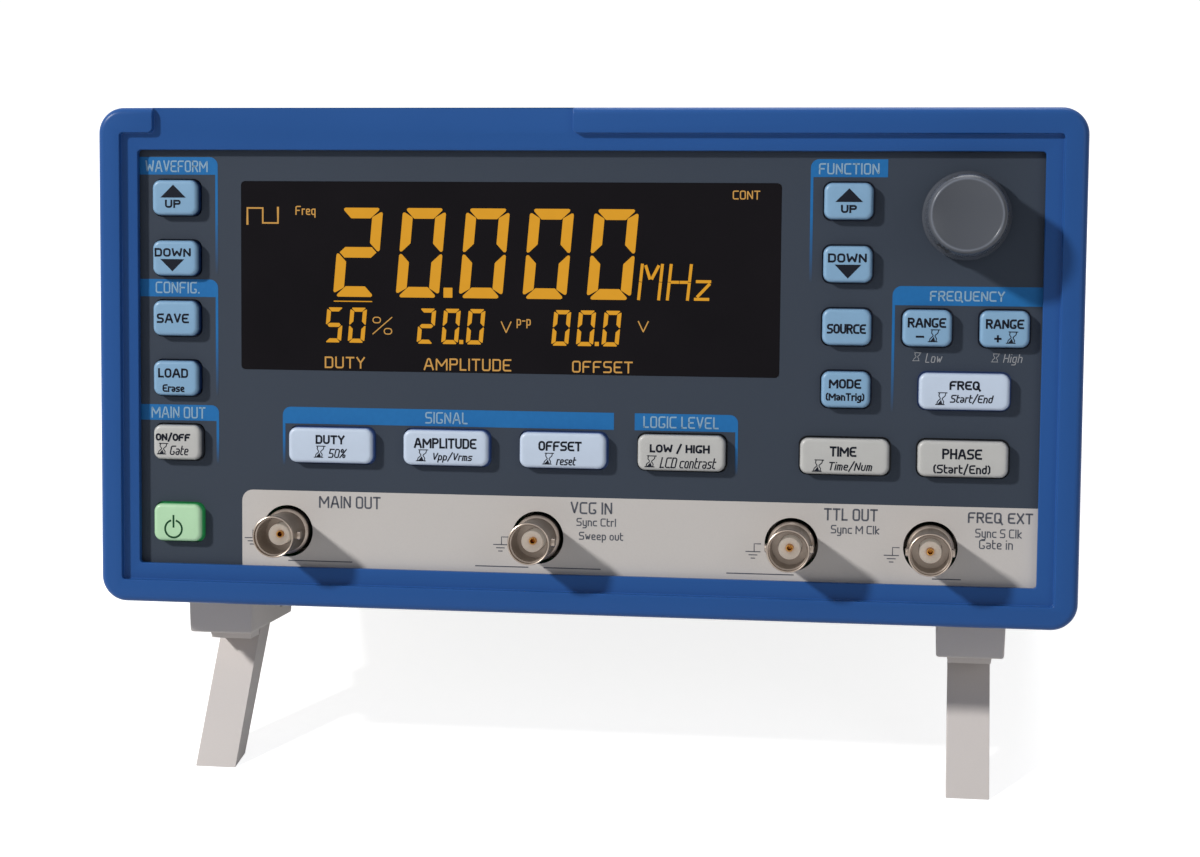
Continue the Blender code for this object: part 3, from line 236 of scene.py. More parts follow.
SLATE = srgb(56, 64, 76)
bezel_finish = moulded("blue_moulding", srgb(38, 83, 147), 0.3, grain=2600, depth=0.006)
foot_finish = moulded("light_grey_moulding", srgb(212, 206, 203), 0.5, drift=0.04)
case_finish = moulded("case_grey_moulding", srgb(188, 186, 182), 0.55, grain=1800, depth=0.03)
rear_finish = moulded("rear_grey_moulding", srgb(150, 149, 147), 0.55, grain=1800, depth=0.03)
black_finish = moulded("black_moulding", srgb(30, 30, 32), 0.42, drift=0.12)
print("moulded finishes:", ", ".join(m.name for m in bpy.data.materials if "moulding" in m.name))

# %% [markdown]
# ## Printed film and inks
#
# The panel is a printed film over a sheet: matt, with a very fine texture. The strip behind the sockets
# and the blue title bars are printed on it, and so are the legends. A title bar's side line fades out
# downwards, which an attribute on its points tells the material.


# %% Film and ink
def film(name, colour, roughness=0.55):
    """Screen-printed polyester: a matt film with a pebbled skin."""
    finish = Finish(name, Specular_IOR_Level=0.15)
    place = finish.place()
    pebbles = finish.add("ShaderNodeTexVoronoi", {"feature": "F1"}, Vector=place, Scale=2600.0)
    slow = finish.noise(20, 3)
    tone = finish.wander(slow, colour, 0.05)
    finish.set("Base Color", finish.blend(pebbles * 0.12, tone, scaled(colour, 0.75)))
    finish.set("Roughness", roughness - 0.04 + slow * 0.08)
    finish.relief(pebbles, 0.006 * MM)
    return finish


def ink(name, colour, roughness=0.5, fade_to=None):
    """Printing ink, a little uneven in the layer's thickness."""
    finish = Finish(name, Specular_IOR_Level=0.15)
    cloud = finish.noise(900, 3)
    tone = finish.wander(cloud, colour, 0.07)
    if fade_to:
        fade = finish.add("ShaderNodeAttribute", {"attribute_name": "fade"}, output="Fac")
        tone = finish.blend(fade, tone, fade_to)
    finish.set("Base Color", tone)
    finish.set("Roughness", roughness - 0.05 + cloud * 0.1)
    return finish


slate_film = film("slate_film", SLATE)
strip_film = film("warm_white_film", srgb(197, 193, 190), 0.5)
title_ink = ink("title_bar_blue", srgb(36, 108, 170), fade_to=SLATE)
title_text_ink = ink("title_text_pale", srgb(140, 170, 192))
note_ink = ink("note_text_grey", srgb(150, 152, 156))
strip_ink = ink("strip_text_grey", srgb(84, 87, 96))
key_ink = ink("key_text_navy", srgb(13, 18, 30), 0.4)
power_ink = ink("power_text_green", srgb(16, 64, 36), 0.4)
print("inks:", ", ".join(m.name for m in bpy.data.materials if "text" in m.name))


# %% Lit surfaces
def glowing(name, colour, strength, mottle=0.05, roughness=0.35):
    """A surface with light behind it: the glow carries most of the colour."""
    finish = Finish(name, Emission_Strength=strength, Specular_IOR_Level=0.05)
    cloud = finish.noise(420, 3)
    finish.set("Base Color", scaled(colour, 0.06))
    finish.set("Emission Color", finish.wander(cloud, colour, mottle))
    finish.set("Roughness", roughness + cloud * 0.08)
    return finish


segment_glow = glowing("display_amber", srgb(219, 156, 44), 0.88)
caption_glow = glowing("caption_amber", srgb(204, 154, 82), 0.85)
print("display glows at", segment_glow.shader.inputs["Emission Strength"].default_value)

# %% [markdown]
# ## Metals
#
# The sockets are nickel on brass: a warm grey mirror, worn dull by plugs in fine rings around the
# socket's axis. Their contacts are gold plated. A noise that is stretched along the axis makes the
# rings.


# %% Plated metal
def plated(name, colour, roughness):
    finish = Finish(name, Metallic=1.0)
    stretched = finish.add("ShaderNodeMapping", Vector=finish.place(), Scale=(900, 120, 900))
    rings = finish.noise(1.0, 3, stretched)
    cloud = finish.noise(260, 2)
    finish.set("Base Color", finish.blend(cloud, scaled(colour, 0.84), colour))
    finish.set("Roughness", roughness - 0.05 + rings * 0.14)
    finish.relief(rings, 0.004 * MM)
    return finish


nickel = plated("nickel_plate", srgb(154, 142, 132), 0.3)
gold = plated("gold_plate", srgb(214, 160, 84), 0.25)
steel = plated("zinc_plate", srgb(178, 178, 176), 0.32)
aluminium = plated("bare_aluminium", srgb(190, 192, 194), 0.4)
print("plated metals:", nickel.material.name, gold.material.name, steel.material.name)

# %% [markdown]
# ## Making a piece
#
# A finished piece is a mesh whose place is in its points, on an object that sits at the origin. So each
# shape is drawn in the instrument's axes, turned by the matrix, shaded smooth up to a sharp edge, and
# then told which body it moves with and which solids it stands for.


# %% Helpers that finish a piece
def plain_mesh(obj):
    """What an object's modifiers make, as a plain mesh in the object's own axes."""
    bpy.context.view_layer.update()
    graph = bpy.context.evaluated_depsgraph_get()
    return bpy.data.meshes.new_from_object(obj.evaluated_get(graph))


def evaluated_mesh(obj):
    """The plain mesh of an object, where the object stands. The object itself is removed."""
    mesh = plain_mesh(obj)
    mesh.transform(obj.matrix_world)
    bpy.data.objects.remove(obj)
    return mesh


def mesh_of(bm):
    mesh = bpy.data.meshes.new("draft")
    bm.to_mesh(mesh)
    bm.free()
    return mesh


def draft(mesh, name="draft"):
    obj = bpy.data.objects.new(name, mesh)
    bpy.context.scene.collection.objects.link(obj)
    return obj


def piece(name, mesh, finish, body=ROOT, stands_for=(), sharp=35, upright=True):
    """A finished piece. An upright mesh is in the instrument's axes and is turned to the world's."""
    mesh.name = name
    if upright:
        mesh.transform(BODY)
    mesh.materials.clear()
    mesh.materials.append(finish.material)
    mesh.shade_smooth()
    mesh.set_sharp_from_angle(angle=math.radians(sharp))
    obj = draft(mesh, name)
    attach(obj, body)
    if stands_for:
        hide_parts(*stands_for)
    return obj


def cleaned(mesh, distance=0.002 * MM):
    """The same mesh with its doubles merged and its faces pointing out."""
    bm = bmesh.new()
    bm.from_mesh(mesh)
    bmesh.ops.remove_doubles(bm, verts=bm.verts, dist=distance)
    bmesh.ops.recalc_face_normals(bm, faces=bm.faces)
    bm.to_mesh(mesh)
    bm.free()
    return mesh


def joined(meshes):
    bm = bmesh.new()
    for mesh in meshes:
        bm.from_mesh(mesh)
        bpy.data.meshes.remove(mesh)
    return mesh_of(bm)


def count(obj):
    return f"{obj.name}: {len(obj.data.vertices)} points, {len(obj.data.polygons)} faces"


print("pieces ride on", ROOT, "unless they say otherwise")


# %% Flat shapes
def loop_of(corners, radii=0.0, steps=6):
    """A closed outline through the corners, each rounded by its radius. All in mm."""
    radii = radii if isinstance(radii, (list, tuple)) else [radii] * len(corners)
    points = []
    for i, corner in enumerate(corners):
        corner = Vector(corner)
        if not radii[i]:
            points.append(tuple(corner))
            continue
        sides = [Vector(corners[k % len(corners)]) - corner for k in (i - 1, i + 1)]
        before, after = (side.normalized() for side in sides)
        half = before.angle(after) / 2
        radius = min(radii[i], 0.48 * min(side.length for side in sides) * math.tan(half))
        centre = corner + (before + after).normalized() * (radius / math.sin(half))
        start = corner + before * (radius / math.tan(half)) - centre
        end = corner + after * (radius / math.tan(half)) - centre
        sweep = start.angle_signed(end)
        for k in range(steps + 1):
            turned = Matrix.Rotation(-sweep * k / steps, 2) @ start
            points.append(tuple(centre + turned))
    return points


def rectangle(left, right, low, high, radii=0.0, steps=6):
    return loop_of([(left, low), (right, low), (right, high), (left, high)], radii, steps)


def circle(x, z, radius, steps=48):
    angles = [2 * math.pi * k / steps for k in range(steps)]
    return [(x + radius * math.cos(angle), z + radius * math.sin(angle)) for angle in angles]


def sheet_of(loops, front, back):
    """A sheet between two depths, in mm, from outlines in x and z. Outlines inside others are holes."""
    curve = bpy.data.curves.new("outline", "CURVE")
    curve.dimensions = "2D"
    curve.fill_mode = "BOTH"
    curve.extrude = (back - front) / 2 * MM
    for loop in loops:
        spline = curve.splines.new("POLY")
        spline.points.add(len(loop) - 1)
        for point, (x, z) in zip(spline.points, loop):
            point.co = (x * MM, z * MM, 0, 1)
        spline.use_cyclic_u = True
    obj = draft(curve)
    obj.rotation_euler = (math.pi / 2, 0, 0)
    obj.location = (0, (front + back) / 2 * MM, 0)
    return cleaned(evaluated_mesh(obj))


print("a rounded square has", len(rectangle(0, 1, 0, 1, 0.2)), "points")

# %% [markdown]
# ## The bezel
#
# One blue moulding frames the front: a raised rim, a ledge a step lower, and a lip that covers the
# panel's edge. Along part of the top the rim is missing and the ledge runs out as a bare recess. All
# of it is cut from one rounded block. What makes a moulding look real is the small radius on every
# edge, so a Bevel modifier goes over the whole thing at the end.

# %% Bezel sizes
HALF_WIDTH = 113.5
HEIGHT = 116.0
BEZEL_BACK = 14.0
RIM_X = 108.2
RIM_LOW = 5.3
RIM_HIGH = 110.2
LEDGE = 1.5
RECESS_X = (-100.2, -1.2)
OPEN_X = 104.3
OPEN_LOW = 9.2
OPEN_HIGH = 106.3
WALL = 2.2
LIP = 3.1  # the depth of the lip over the panel's edge
CORNER = 6.0
FRONT_EDGE = 1.6
STEP_CORNER = 0.8
RECESS_CORNER = 1.2


# %% Cut the bezel
def bevelled(bm, edges, width, steps):
    bmesh.ops.bevel(bm, geom=edges, offset=width * MM, segments=steps, profile=0.5, affect="EDGES")


def rounded_block(low, high, corner, steps, edge=0.0, edge_steps=4):
    """A block with its edges along y rounded, and then the edges of its front."""
    bm = bmesh.new()
    bmesh.ops.create_cube(bm, size=1.0)
    low, high = Vector(low) * MM, Vector(high) * MM
    bmesh.ops.scale(bm, vec=high - low, verts=bm.verts)
    bmesh.ops.translate(bm, vec=(high + low) / 2, verts=bm.verts)
    half_depth = (high - low).y / 2
    bevelled(bm, [e for e in bm.edges if abs((e.verts[0].co - e.verts[1].co).y) > half_depth], corner, steps)
    if edge:
        front = [e for e in bm.edges if all(abs(v.co.y - low.y) < 1e-6 for v in e.verts)]
        bevelled(bm, front, edge, edge_steps)
    return mesh_of(bm)


def carved(mesh, cutters):
    """The mesh with closed meshes cut away from it."""
    obj = draft(mesh)
    tools = [draft(cutter, "cutter") for cutter in cutters]
    for tool in tools:
        modifier = obj.modifiers.new("carve", "BOOLEAN")
        modifier.operation = "DIFFERENCE"
        modifier.object = tool
        modifier.solver = "EXACT"
    result = evaluated_mesh(obj)
    for tool in tools:
        bpy.data.objects.remove(tool)
    return result


def edged(mesh, width, steps=3, merge=0.01):
    """A small radius on each sharp edge, after flat faces are made whole."""
    bm = bmesh.new()
    bm.from_mesh(mesh)
    bmesh.ops.remove_doubles(bm, verts=bm.verts, dist=merge * MM)
    bmesh.ops.dissolve_limit(bm, angle_limit=math.radians(1), verts=bm.verts, edges=bm.edges)
    bm.to_mesh(mesh)
    bm.free()
    obj = draft(mesh)
    modifier = obj.modifiers.new("edge", "BEVEL")
    modifier.width = width * MM
    modifier.segments = steps
    modifier.limit_method = "ANGLE"
    modifier.angle_limit = math.radians(40)
    return evaluated_mesh(obj)


block = rounded_block((-HALF_WIDTH, 0, 0), (HALF_WIDTH, BEZEL_BACK, HEIGHT), CORNER, 14, FRONT_EDGE, 6)
above = HEIGHT + 3
step_corners = [(-RIM_X, RIM_LOW), (RIM_X, RIM_LOW), (RIM_X, RIM_HIGH), (RECESS_X[1], RIM_HIGH)]
step_corners += [(RECESS_X[1], above), (RECESS_X[0], above), (RECESS_X[0], RIM_HIGH), (-RIM_X, RIM_HIGH)]
step_radii = [STEP_CORNER] * 3 + [RECESS_CORNER, 0, 0, RECESS_CORNER, STEP_CORNER]
ledge = sheet_of([loop_of(step_corners, step_radii)], -3, LEDGE)
opening = sheet_of([rectangle(-OPEN_X, OPEN_X, OPEN_LOW, OPEN_HIGH, STEP_CORNER)], -3, BEZEL_BACK / 2)
inner_corners = (WALL - HALF_WIDTH, LIP, WALL), (HALF_WIDTH - WALL, BEZEL_BACK + 3, HEIGHT - WALL)
inside = rounded_block(*inner_corners, CORNER - WALL, 8)
bezel_mesh = edged(carved(block, [ledge, opening, inside]), 0.7, 5, merge=0.12)
bezel = piece("bezel", bezel_mesh, bezel_finish, stands_for=["front_bezel"])
print(count(bezel))

# %% [markdown]
# ## The panel and its prints
#
# The panel is one sheet with a hole for each key, the sockets, the knob's shaft and the window. The
# prints are thin sheets on top of it, thick enough to be seen from any side and far too thin to feel.
# A title bar is a small hook: a bar with a line down one side.

# %% Places on the panel, in mm
PANEL = 3.4
PANEL_THICK = 1.8
PRINT = 0.03
PRINTED = PANEL - PRINT
PANEL_EDGES = (-107, 107, 6.5, 109)
STRIP_EDGES = (-79.8, 106.5, 7.2, 27.0)
WINDOW = (-79.9, 46.1, 55.3, 99.2)
SOCKETS = (-68.8, -9.2, 49.4, 80.7)
SOCKET_Z = 17.45
SOCKET_HOLE = 6.1
SHAFT_HOLE = 4.0
KEY_GAP = 0.35
ROWS = (95.2, 81.15, 67.1, 53.05)
WIDE_ROW = 37.95
SIGNAL_START, SIGNAL_PITCH = -57.9, 27.37
FUNCTION_X, PHASE_X = 61.15, 87.45
WIDE = 20.1
KEYS = {}


def place_key(name, x, z, kind="blue", width=11.0, height=8.2):
    KEYS["key_" + name] = (x, z, width, height, kind)


def place_column(x, names):
    for name, z in zip(names, ROWS):
        place_key(name, x, z)


place_column(-95.2, ("wave_up", "wave_down", "save", "load"))
place_key("output", -94.95, WIDE_ROW, "beige", 11.6)
place_key("power", -94.95, 19.0, "green", 11.6, 8.8)
place_column(FUNCTION_X, ("function_up", "function_down", "source", "mode"))
place_key("range_down", 79.0, ROWS[2])
place_key("range_up", 96.05, ROWS[2])
place_key("frequency", PHASE_X, ROWS[3], "lit", WIDE)
for number, name in enumerate(("duty", "amplitude", "offset")):
    place_key(name, SIGNAL_START + SIGNAL_PITCH * number, WIDE_ROW, "lit", WIDE)
for name, x in (("logic_level", 24.21), ("time", FUNCTION_X), ("phase", PHASE_X)):
    place_key(name, x, WIDE_ROW, "beige", WIDE)
print(len(KEYS), "keys and", len(SOCKETS), "sockets")

# %% Panel and strip
panel_loops = [rectangle(*PANEL_EDGES, 2.0), rectangle(*WINDOW, 1.0)]
for x, z, width, height, _ in KEYS.values():
    half_x, half_z = width / 2 + KEY_GAP, height / 2 + KEY_GAP
    panel_loops.append(rectangle(x - half_x, x + half_x, z - half_z, z + half_z, 2.0))
socket_holes = [circle(x, SOCKET_Z, SOCKET_HOLE) for x in SOCKETS]
panel_loops += socket_holes
panel_loops.append(circle(KNOB.x / MM, KNOB.z / MM, SHAFT_HOLE))
panel_mesh = sheet_of(panel_loops, PANEL, PANEL + PANEL_THICK)
panel = piece("panel", panel_mesh, slate_film, stands_for=["front_panel"])

strip_loop = rectangle(*STRIP_EDGES, [0, 0, 0, 2.6])
strip = piece("socket_strip", sheet_of([strip_loop] + socket_holes, PRINTED, PANEL), strip_film)
print(count(panel))
print(count(strip))


# %% Title bars
BAR_CORNER = 2.2
SIDE_LINE = 0.6
FLARE = 1.32  # where the bar's lower edge runs into its side line
FADE_START = 0.35  # the share of the side line that keeps its full colour


def title_bar(left, right, low, high, line_end, side):
    """A bar with a line from its left end (side 1) or its right (-1) down to line_end, fading there."""
    outer, inner = (left, right) if side == 1 else (right, left)
    edge, flare = outer + side * SIDE_LINE, outer + side * FLARE
    corners = [(outer, low), (outer, high), (inner, high), (inner, low), (flare, low), (edge, low)]
    heights = [low + (line_end - low) * k / 8 for k in range(9)]
    line = [(outer, z) for z in heights] + [(edge, z) for z in reversed(heights)]
    outlines = (loop_of(corners, [0, BAR_CORNER, 0, 0, 0, 0]), line)
    mesh = joined([sheet_of([outline], PRINTED, PANEL) for outline in outlines])
    fade = mesh.attributes.new("fade", "FLOAT", "POINT").data
    for vertex, value in zip(mesh.vertices, fade):
        below = (low - vertex.co.z / MM) / (low - line_end)
        value.value = max(0.0, below - FADE_START) / (1 - FADE_START)
    return mesh


BARS = (
    (-106.0, -85.5, 100.6, 104.7, 77.4, -1),
    (-106.0, -85.5, 72.1, 76.2, 49.0, -1),
    (-106.0, -85.4, 43.0, 46.7, 33.0, -1),
    (-69.9, 8.4, 42.8, 46.7, 33.0, 1),
    (13.2, 36.9, 42.8, 46.7, 33.0, -1),
    (52.5, 69.7, 100.6, 104.6, 76.9, 1),
    (71.2, 106.0, 72.1, 76.4, 48.0, 1),
)
bars = piece("title_bars", joined([title_bar(*bar) for bar in BARS]), title_ink)
print(count(bars))

# %% [markdown]
# ## Legends
#
# The legends are in a squarish technical lettering whose corners are rounded and whose lines are all of
# one width, as if a pen had drawn them. So that is how they are made here. Each letter is a few straight
# runs on a small grid, their corners are rounded, and a recipe draws a flat nib along them. Because the
# runs are stretched to the printed place before the nib follows them, the line keeps its width whatever
# the letters' proportions.


# %% Recipes, and the pen
def recipe(name, *numbers, **others):
    """A Geometry Nodes tree with named inputs, and the wires that come from them."""
    group = bpy.data.node_groups.new(name, "GeometryNodeTree")
    inputs = {"Geometry": "Geometry", **dict.fromkeys(numbers, "Float"), **others, "Material": "Material"}
    for label, kind in inputs.items():
        group.interface.new_socket(label, in_out="INPUT", socket_type="NodeSocket" + kind)
    group.interface.new_socket("Geometry", in_out="OUTPUT", socket_type="NodeSocketGeometry")
    tree = Tree(group)
    source = group.nodes.new("NodeGroupInput")
    return tree, {socket.name: Wire(tree, socket) for socket in source.outputs if socket.name}


def finish_recipe(tree, geometry, material):
    """Every recipe ends in real geometry with a material."""
    real = tree.add("GeometryNodeRealizeInstances", Geometry=geometry)
    dressed = tree.add("GeometryNodeSetMaterial", Geometry=real, Material=material)
    tree.feed(dressed, tree.tree.nodes.new("NodeGroupOutput").inputs["Geometry"])
    print("recipe", tree.tree.name, "has", len(tree.tree.nodes), "nodes")
    return tree.tree


def follow(group, mesh, finish, **values):
    """The mesh that a recipe makes from a mesh and its named inputs. Numbers are in mm."""
    obj = draft(mesh)
    modifier = obj.modifiers.new(group.name, "NODES")
    modifier.node_group = group
    ids = {item.name: item.identifier for item in group.interface.items_tree if item.in_out == "INPUT"}
    modifier[ids["Material"]] = finish.material
    for label, value in values.items():
        modifier[ids[label]] = value * MM if isinstance(value, float) else value
    return evaluated_mesh(obj)


def quadrilateral(tree, mode, **sizes):
    return tree.add("GeometryNodeCurvePrimitiveQuadrilateral", {"mode": mode}, **sizes)


tree, wires = recipe("pen", "Width", "Depth")
runs = tree.add("GeometryNodeMeshToCurve", Mesh=wires["Geometry"])
level = tree.add("GeometryNodeSetCurveNormal", {"mode": "Z_UP"}, Curve=runs)
nib = quadrilateral(tree, "RECTANGLE", Width=wires["Width"], Height=wires["Depth"])
drawn = tree.add("GeometryNodeCurveToMesh", Curve=level, Profile_Curve=nib, Fill_Caps=True)
PEN = finish_recipe(tree, drawn, wires["Material"])

# %% The letters, as runs through grid points; a star closes a run
GLYPHS = {
    "A": "02 28 38 52|14 44", "C": "48 08 02 42", "D": "02 08|08 48 42 02", "E": "48 08 02 42|05 35",
    "F": "48 08 02|05 35", "G": "48 08 02 42 44 34", "H": "02 08|42 48|05 45", "I": "02 08",
    "L": "08 02|02 32", "M": "02 08 34 68 62", "N": "02 08 42 48", "O": "*02 08 48 42",
    "P": "02 08|08 48 45 05", "Q": "*02 08 48 42|34 51", "R": "02 08|08 48 45 05|25 42",
    "S": "48 08 05 45 42 02", "T": "08 48|28 22", "U": "08 02 42 48", "V": "08 22 48",
    "W": "08 12 36 52 68", "X": "02 48|08 42", "Y": "08 25 48|25 22",
    "a": "06 36 32 02 04 34", "c": "36 06 02 32", "d": "38 32 02 06 36", "e": "04 34 36 06 02 32",
    "g": "36 06 02 32|36 30 00", "h": "08 02|06 36 32", "i": "02 06|08 08", "k": "08 02|36 04 32",
    "l": "08 02", "m": "02 06|06 26 22|26 46 42", "n": "02 06|06 36 32", "o": "*02 06 36 32",
    "p": "00 06|06 36 32 02", "q": "30 36|36 06 02 32", "r": "02 06|06 26", "s": "36 06 04 34 32 02",
    "t": "08 02 22|06 26", "u": "06 02 32 36", "w": "06 12 25 32 46", "y": "06 02 32|36 30 00",
    "0": "*02 08 48 42", "5": "48 08|08 05|05 45 42 02", "(": "18 07 03 12", ")": "08 17 13 02",
    "/": "01 39", "%": "*06 08 28 26|02 58|*34 54 52 32", ".": "02 02", "+": "05 45|27 23", "-": "05 25",
}
SPACE = 2.5  # in steps of the letters' grid, like the gap between letters
LETTER_GAP = 2.0
TIP = 0.12  # the rounding of a tip that a larger one would eat, in nib widths


def lettered(text, left, right, low, high, nib, lean=0.0):
    """The runs of a text that fills a place in x and z, in mm, once a nib has drawn them."""
    runs = []
    pen_x = 0.0
    for letter in text:
        if letter == " ":
            pen_x += SPACE
            continue
        widest = 0
        for run in GLYPHS[letter].split("|"):
            grid = [(int(point[0]), int(point[1])) for point in run.strip("*").split()]
            runs.append(([(pen_x + column, row) for column, row in grid], run[0] == "*"))
            widest = max(widest, *(column for column, _ in grid))
        pen_x += widest + LETTER_GAP
    columns, rows = zip(*(spot for spots, _ in runs for spot in spots))
    first, lowest = min(columns), min(rows)
    across = (right - left - nib - lean * (high - low)) / max(max(columns) - first, 0.01)
    upward = (high - low - nib) / max(max(rows) - lowest, 0.01)

    def placed(column, row):
        rise = (row - lowest) * upward
        return left + nib / 2 + (column - first) * across + lean * rise, low + nib / 2 + rise

    return [([placed(*spot) for spot in spots], closed) for spots, closed in runs]


def is_acute(spots, k):
    """Whether a run turns back so sharply at a point that a rounding would eat the letter's tip."""
    before, after = spots[k - 1] - spots[k], spots[(k + 1) % len(spots)] - spots[k]
    return bool(before.length and after.length) and before.angle(after) < math.radians(75)


def inked(runs, nib, face, finish, corner=1.1):
    """Runs drawn by a flat nib on a face at a depth, with corners rounded by so many nib widths."""
    points, edges = [], []
    for spots, closed in runs:
        spots = [Vector(spot) for spot in spots]
        if not closed:
            for end, neighbour, lone in ((0, 1, (-1, 0)), (-1, -2, (1, 0))):
                step = spots[end] - spots[neighbour]
                spots[end] = spots[end] + (step.normalized() if step.length else Vector(lone)) * nib / 2
        rounding = [nib * (TIP if is_acute(spots, k) else corner) for k in range(len(spots))]
        if not closed:
            rounding[0] = rounding[-1] = 0
        line = loop_of(spots, rounding, 4)
        start = len(points)
        points += [(x * MM, z * MM, 0) for x, z in line]
        edges += [(start + k, start + k + 1) for k in range(len(line) - 1)]
        if closed:
            edges.append((start + len(line) - 1, start))
    mesh = bpy.data.meshes.new("runs")
    mesh.from_pydata(points, edges, [])
    made = follow(PEN, mesh, finish, Width=nib, Depth=PRINT)
    outwards = Matrix.Translation((0, (face - PRINT / 2) * MM, 0))
    made.transform(outwards @ Matrix.Rotation(math.pi / 2, 4, "X"))
    return made


def written(legends, nib, face, finish):
    """Several texts in one width of line. Each has its place, and after it how far it leans."""
    runs = []
    for text, left, right, low, high, *lean in legends:
        runs += lettered(text, left, right, low, high, nib, *lean)
    return inked(runs, nib, face, finish)


sample = written([("UP", 0, 3, 0, 2)], 0.4, 0, key_ink)
print("a two-letter word has", len(sample.polygons), "faces")
bpy.data.meshes.remove(sample)


# %% Signs
def hourglass(left, right, low, high, lean=0.22):
    """A leaning hourglass: the runs of its caps and sides, and the outline of its sand."""
    tall = high - low
    width = right - left - lean * tall

    def leaning(spots):
        return [(left + across * width + lean * up, low + up) for across, up in spots]

    side = [(0.13, tall - 0.1), (0.13, 0.73 * tall), (0.42, 0.5 * tall), (0.13, 0.27 * tall), (0.13, 0.1)]
    other = [(1 - across, up) for across, up in side]
    caps = [[(0, up), (1, up)] for up in (0.1, tall - 0.1)]
    sand = [(0.2, 0.15), (0.8, 0.15), (0.5, 0.42 * tall)]
    return [(leaning(run), False) for run in (*caps, side, other)], leaning(sand)


def power_sign(x, z, radius=2.05):
    """Runs of a ring open at the top, with a bar in the opening."""
    gap, steps = math.radians(22), 30
    angles = [math.pi / 2 + gap + (2 * math.pi - 2 * gap) * k / steps for k in range(steps + 1)]
    ring = [(x + radius * math.cos(a), z + radius * math.sin(a)) for a in angles]
    return [(ring, False), ([(x, z + 0.5), (x, z + radius + 1.0)], False)]


print("signs: hourglass, power")

# %% Titles, notes and the strip's legends
TITLES = (
    ("WAVEFORM", -103.0, -87.9, 101.2, 103.9),
    ("CONFIG.", -100.7, -90.0, 72.9, 75.6),
    ("MAIN OUT", -101.9, -88.7, 43.5, 46.2),
    ("SIGNAL", -35.8, -25.8, 43.4, 46.1),
    ("LOGIC LEVEL", 15.2, 32.5, 43.4, 46.1),
    ("FUNCTION", 54.3, 67.8, 101.2, 103.7),
    ("FREQUENCY", 79.5, 96.0, 72.8, 75.4),
)
NOTES = (("Low", 78.7, 82.7, 59.3, 61.4, 0.2), ("High", 95.8, 100.4, 59.0, 61.5, 0.2))
STRIP_TITLES = (
    ("MAIN OUT", -61.2, -46.4, 23.1, 26.0),
    ("VCG IN", -1.5, 8.2, 23.2, 26.0),
    ("TTL OUT", 56.7, 68.8, 23.2, 26.0),
    ("FREQ EXT", 88.9, 103.3, 23.1, 25.9),
)
STRIP_NOTES = (
    ("Sync Ctrl", -0.1, 9.1, 19.9, 22.3),
    ("Sweep out", 0.5, 10.8, 16.7, 19.1),
    ("Sync M Clk", 58.3, 69.2, 19.7, 22.2),
    ("Sync S Clk", 90.6, 100.9, 19.6, 22.2),
    ("Gate in", 91.5, 99.0, 17.6, 19.7),
)
piece("title_legends", written(TITLES, 0.34, PRINTED, title_text_ink), title_text_ink)
notes = [written(NOTES, 0.2, PANEL, note_ink)]
for x in (75.9, 93.3):
    notes.append(inked(hourglass(x, x + 1.9, 59.6, 61.6)[0], 0.13, PANEL, note_ink))
piece("range_notes", joined(notes), note_ink)
socket_words = [written(STRIP_TITLES, 0.4, PRINTED, strip_ink)]
socket_words.append(written(STRIP_NOTES, 0.27, PRINTED, strip_ink))
print(len(TITLES) + len(NOTES) + len(STRIP_TITLES) + len(STRIP_NOTES), "legends on the panel")

# %% [markdown]
# ## What repeats
#
# Each socket has the same earth sign beside it, and the same shell, insulator and contact. A small
# recipe in Geometry Nodes puts a copy of one prototype on every point of a mesh. The result is made a
# plain mesh before it becomes a piece.

# %% The recipe that repeats a prototype
tree, wires = recipe("repeat_prototype", Prototype="Object")
prototype = tree.add("GeometryNodeObjectInfo", Object=wires["Prototype"], output="Geometry")
copies = tree.add("GeometryNodeInstanceOnPoints", Points=wires["Geometry"], Instance=prototype)
REPEAT = finish_recipe(tree, copies, wires["Material"])


def at_each_socket(mesh, finish):
    """Four copies of a mesh that is drawn about x = 0."""
    points = bpy.data.meshes.new("places")
    points.from_pydata([(x * MM, 0, 0) for x in SOCKETS], [], [])
    model = draft(mesh, "prototype")
    result = follow(REPEAT, points, finish, Prototype=model)
    bpy.data.objects.remove(model)
    return result


# %% Earth signs and the lines between the sockets
EARTH_BARS = ((-10.3, -7.1, 15.6), (-9.6, -7.8, 14.85), (-9.1, -8.3, 14.1))
earth = [([(-8.45, 15.6), (-8.45, 17.4), (-7.0, 17.4)], False)]
earth += [([(left, z), (right, z)], False) for left, right, z in EARTH_BARS]
socket_words.append(at_each_socket(inked(earth, 0.22, PRINTED, strip_ink, corner=0), strip_ink))
LINES = ((-68.5, -53.3), (-23.7, -11.4), (-7.6, 5.5), (34.8, 49.9), (81.3, 87.5))
LINES_Z = 10.5
lines = [([(left, LINES_Z), (right, LINES_Z)], False) for left, right in LINES]
socket_words.append(inked(lines, 0.25, PRINTED, strip_ink))
print(count(piece("socket_legends", joined(socket_words), strip_ink)))

# %% [markdown]
# ## The display
#
# The display is a smoked window over a dark field in which the lit segments stand out amber. A digit has
# seven segments, each a bar with slanting ends. A recipe makes four shapes of them, a level bar, a
# pointed middle bar and two upright bars that mirror each other, and puts the right one at each lit
# place. Everything leans by the same shear, as in the real glass.

# %% The window
window_finish = Finish("smoked_window", Specular_IOR_Level=0.06)
haze = window_finish.noise(60, 3)
window_finish.set("Base Color", window_finish.blend(haze, srgb(14, 12, 16), srgb(22, 19, 23)))
window_finish.set("Roughness", 0.14 + haze * 0.06)
left, right, low, high = WINDOW
fit = 0.05
pane = rectangle(left + fit, right - fit, low + fit, high - fit, 1.0)
window_mesh = sheet_of([pane], PANEL, PANEL + 1.7)
print(count(piece("window", window_mesh, window_finish, stands_for=["display_window"])))


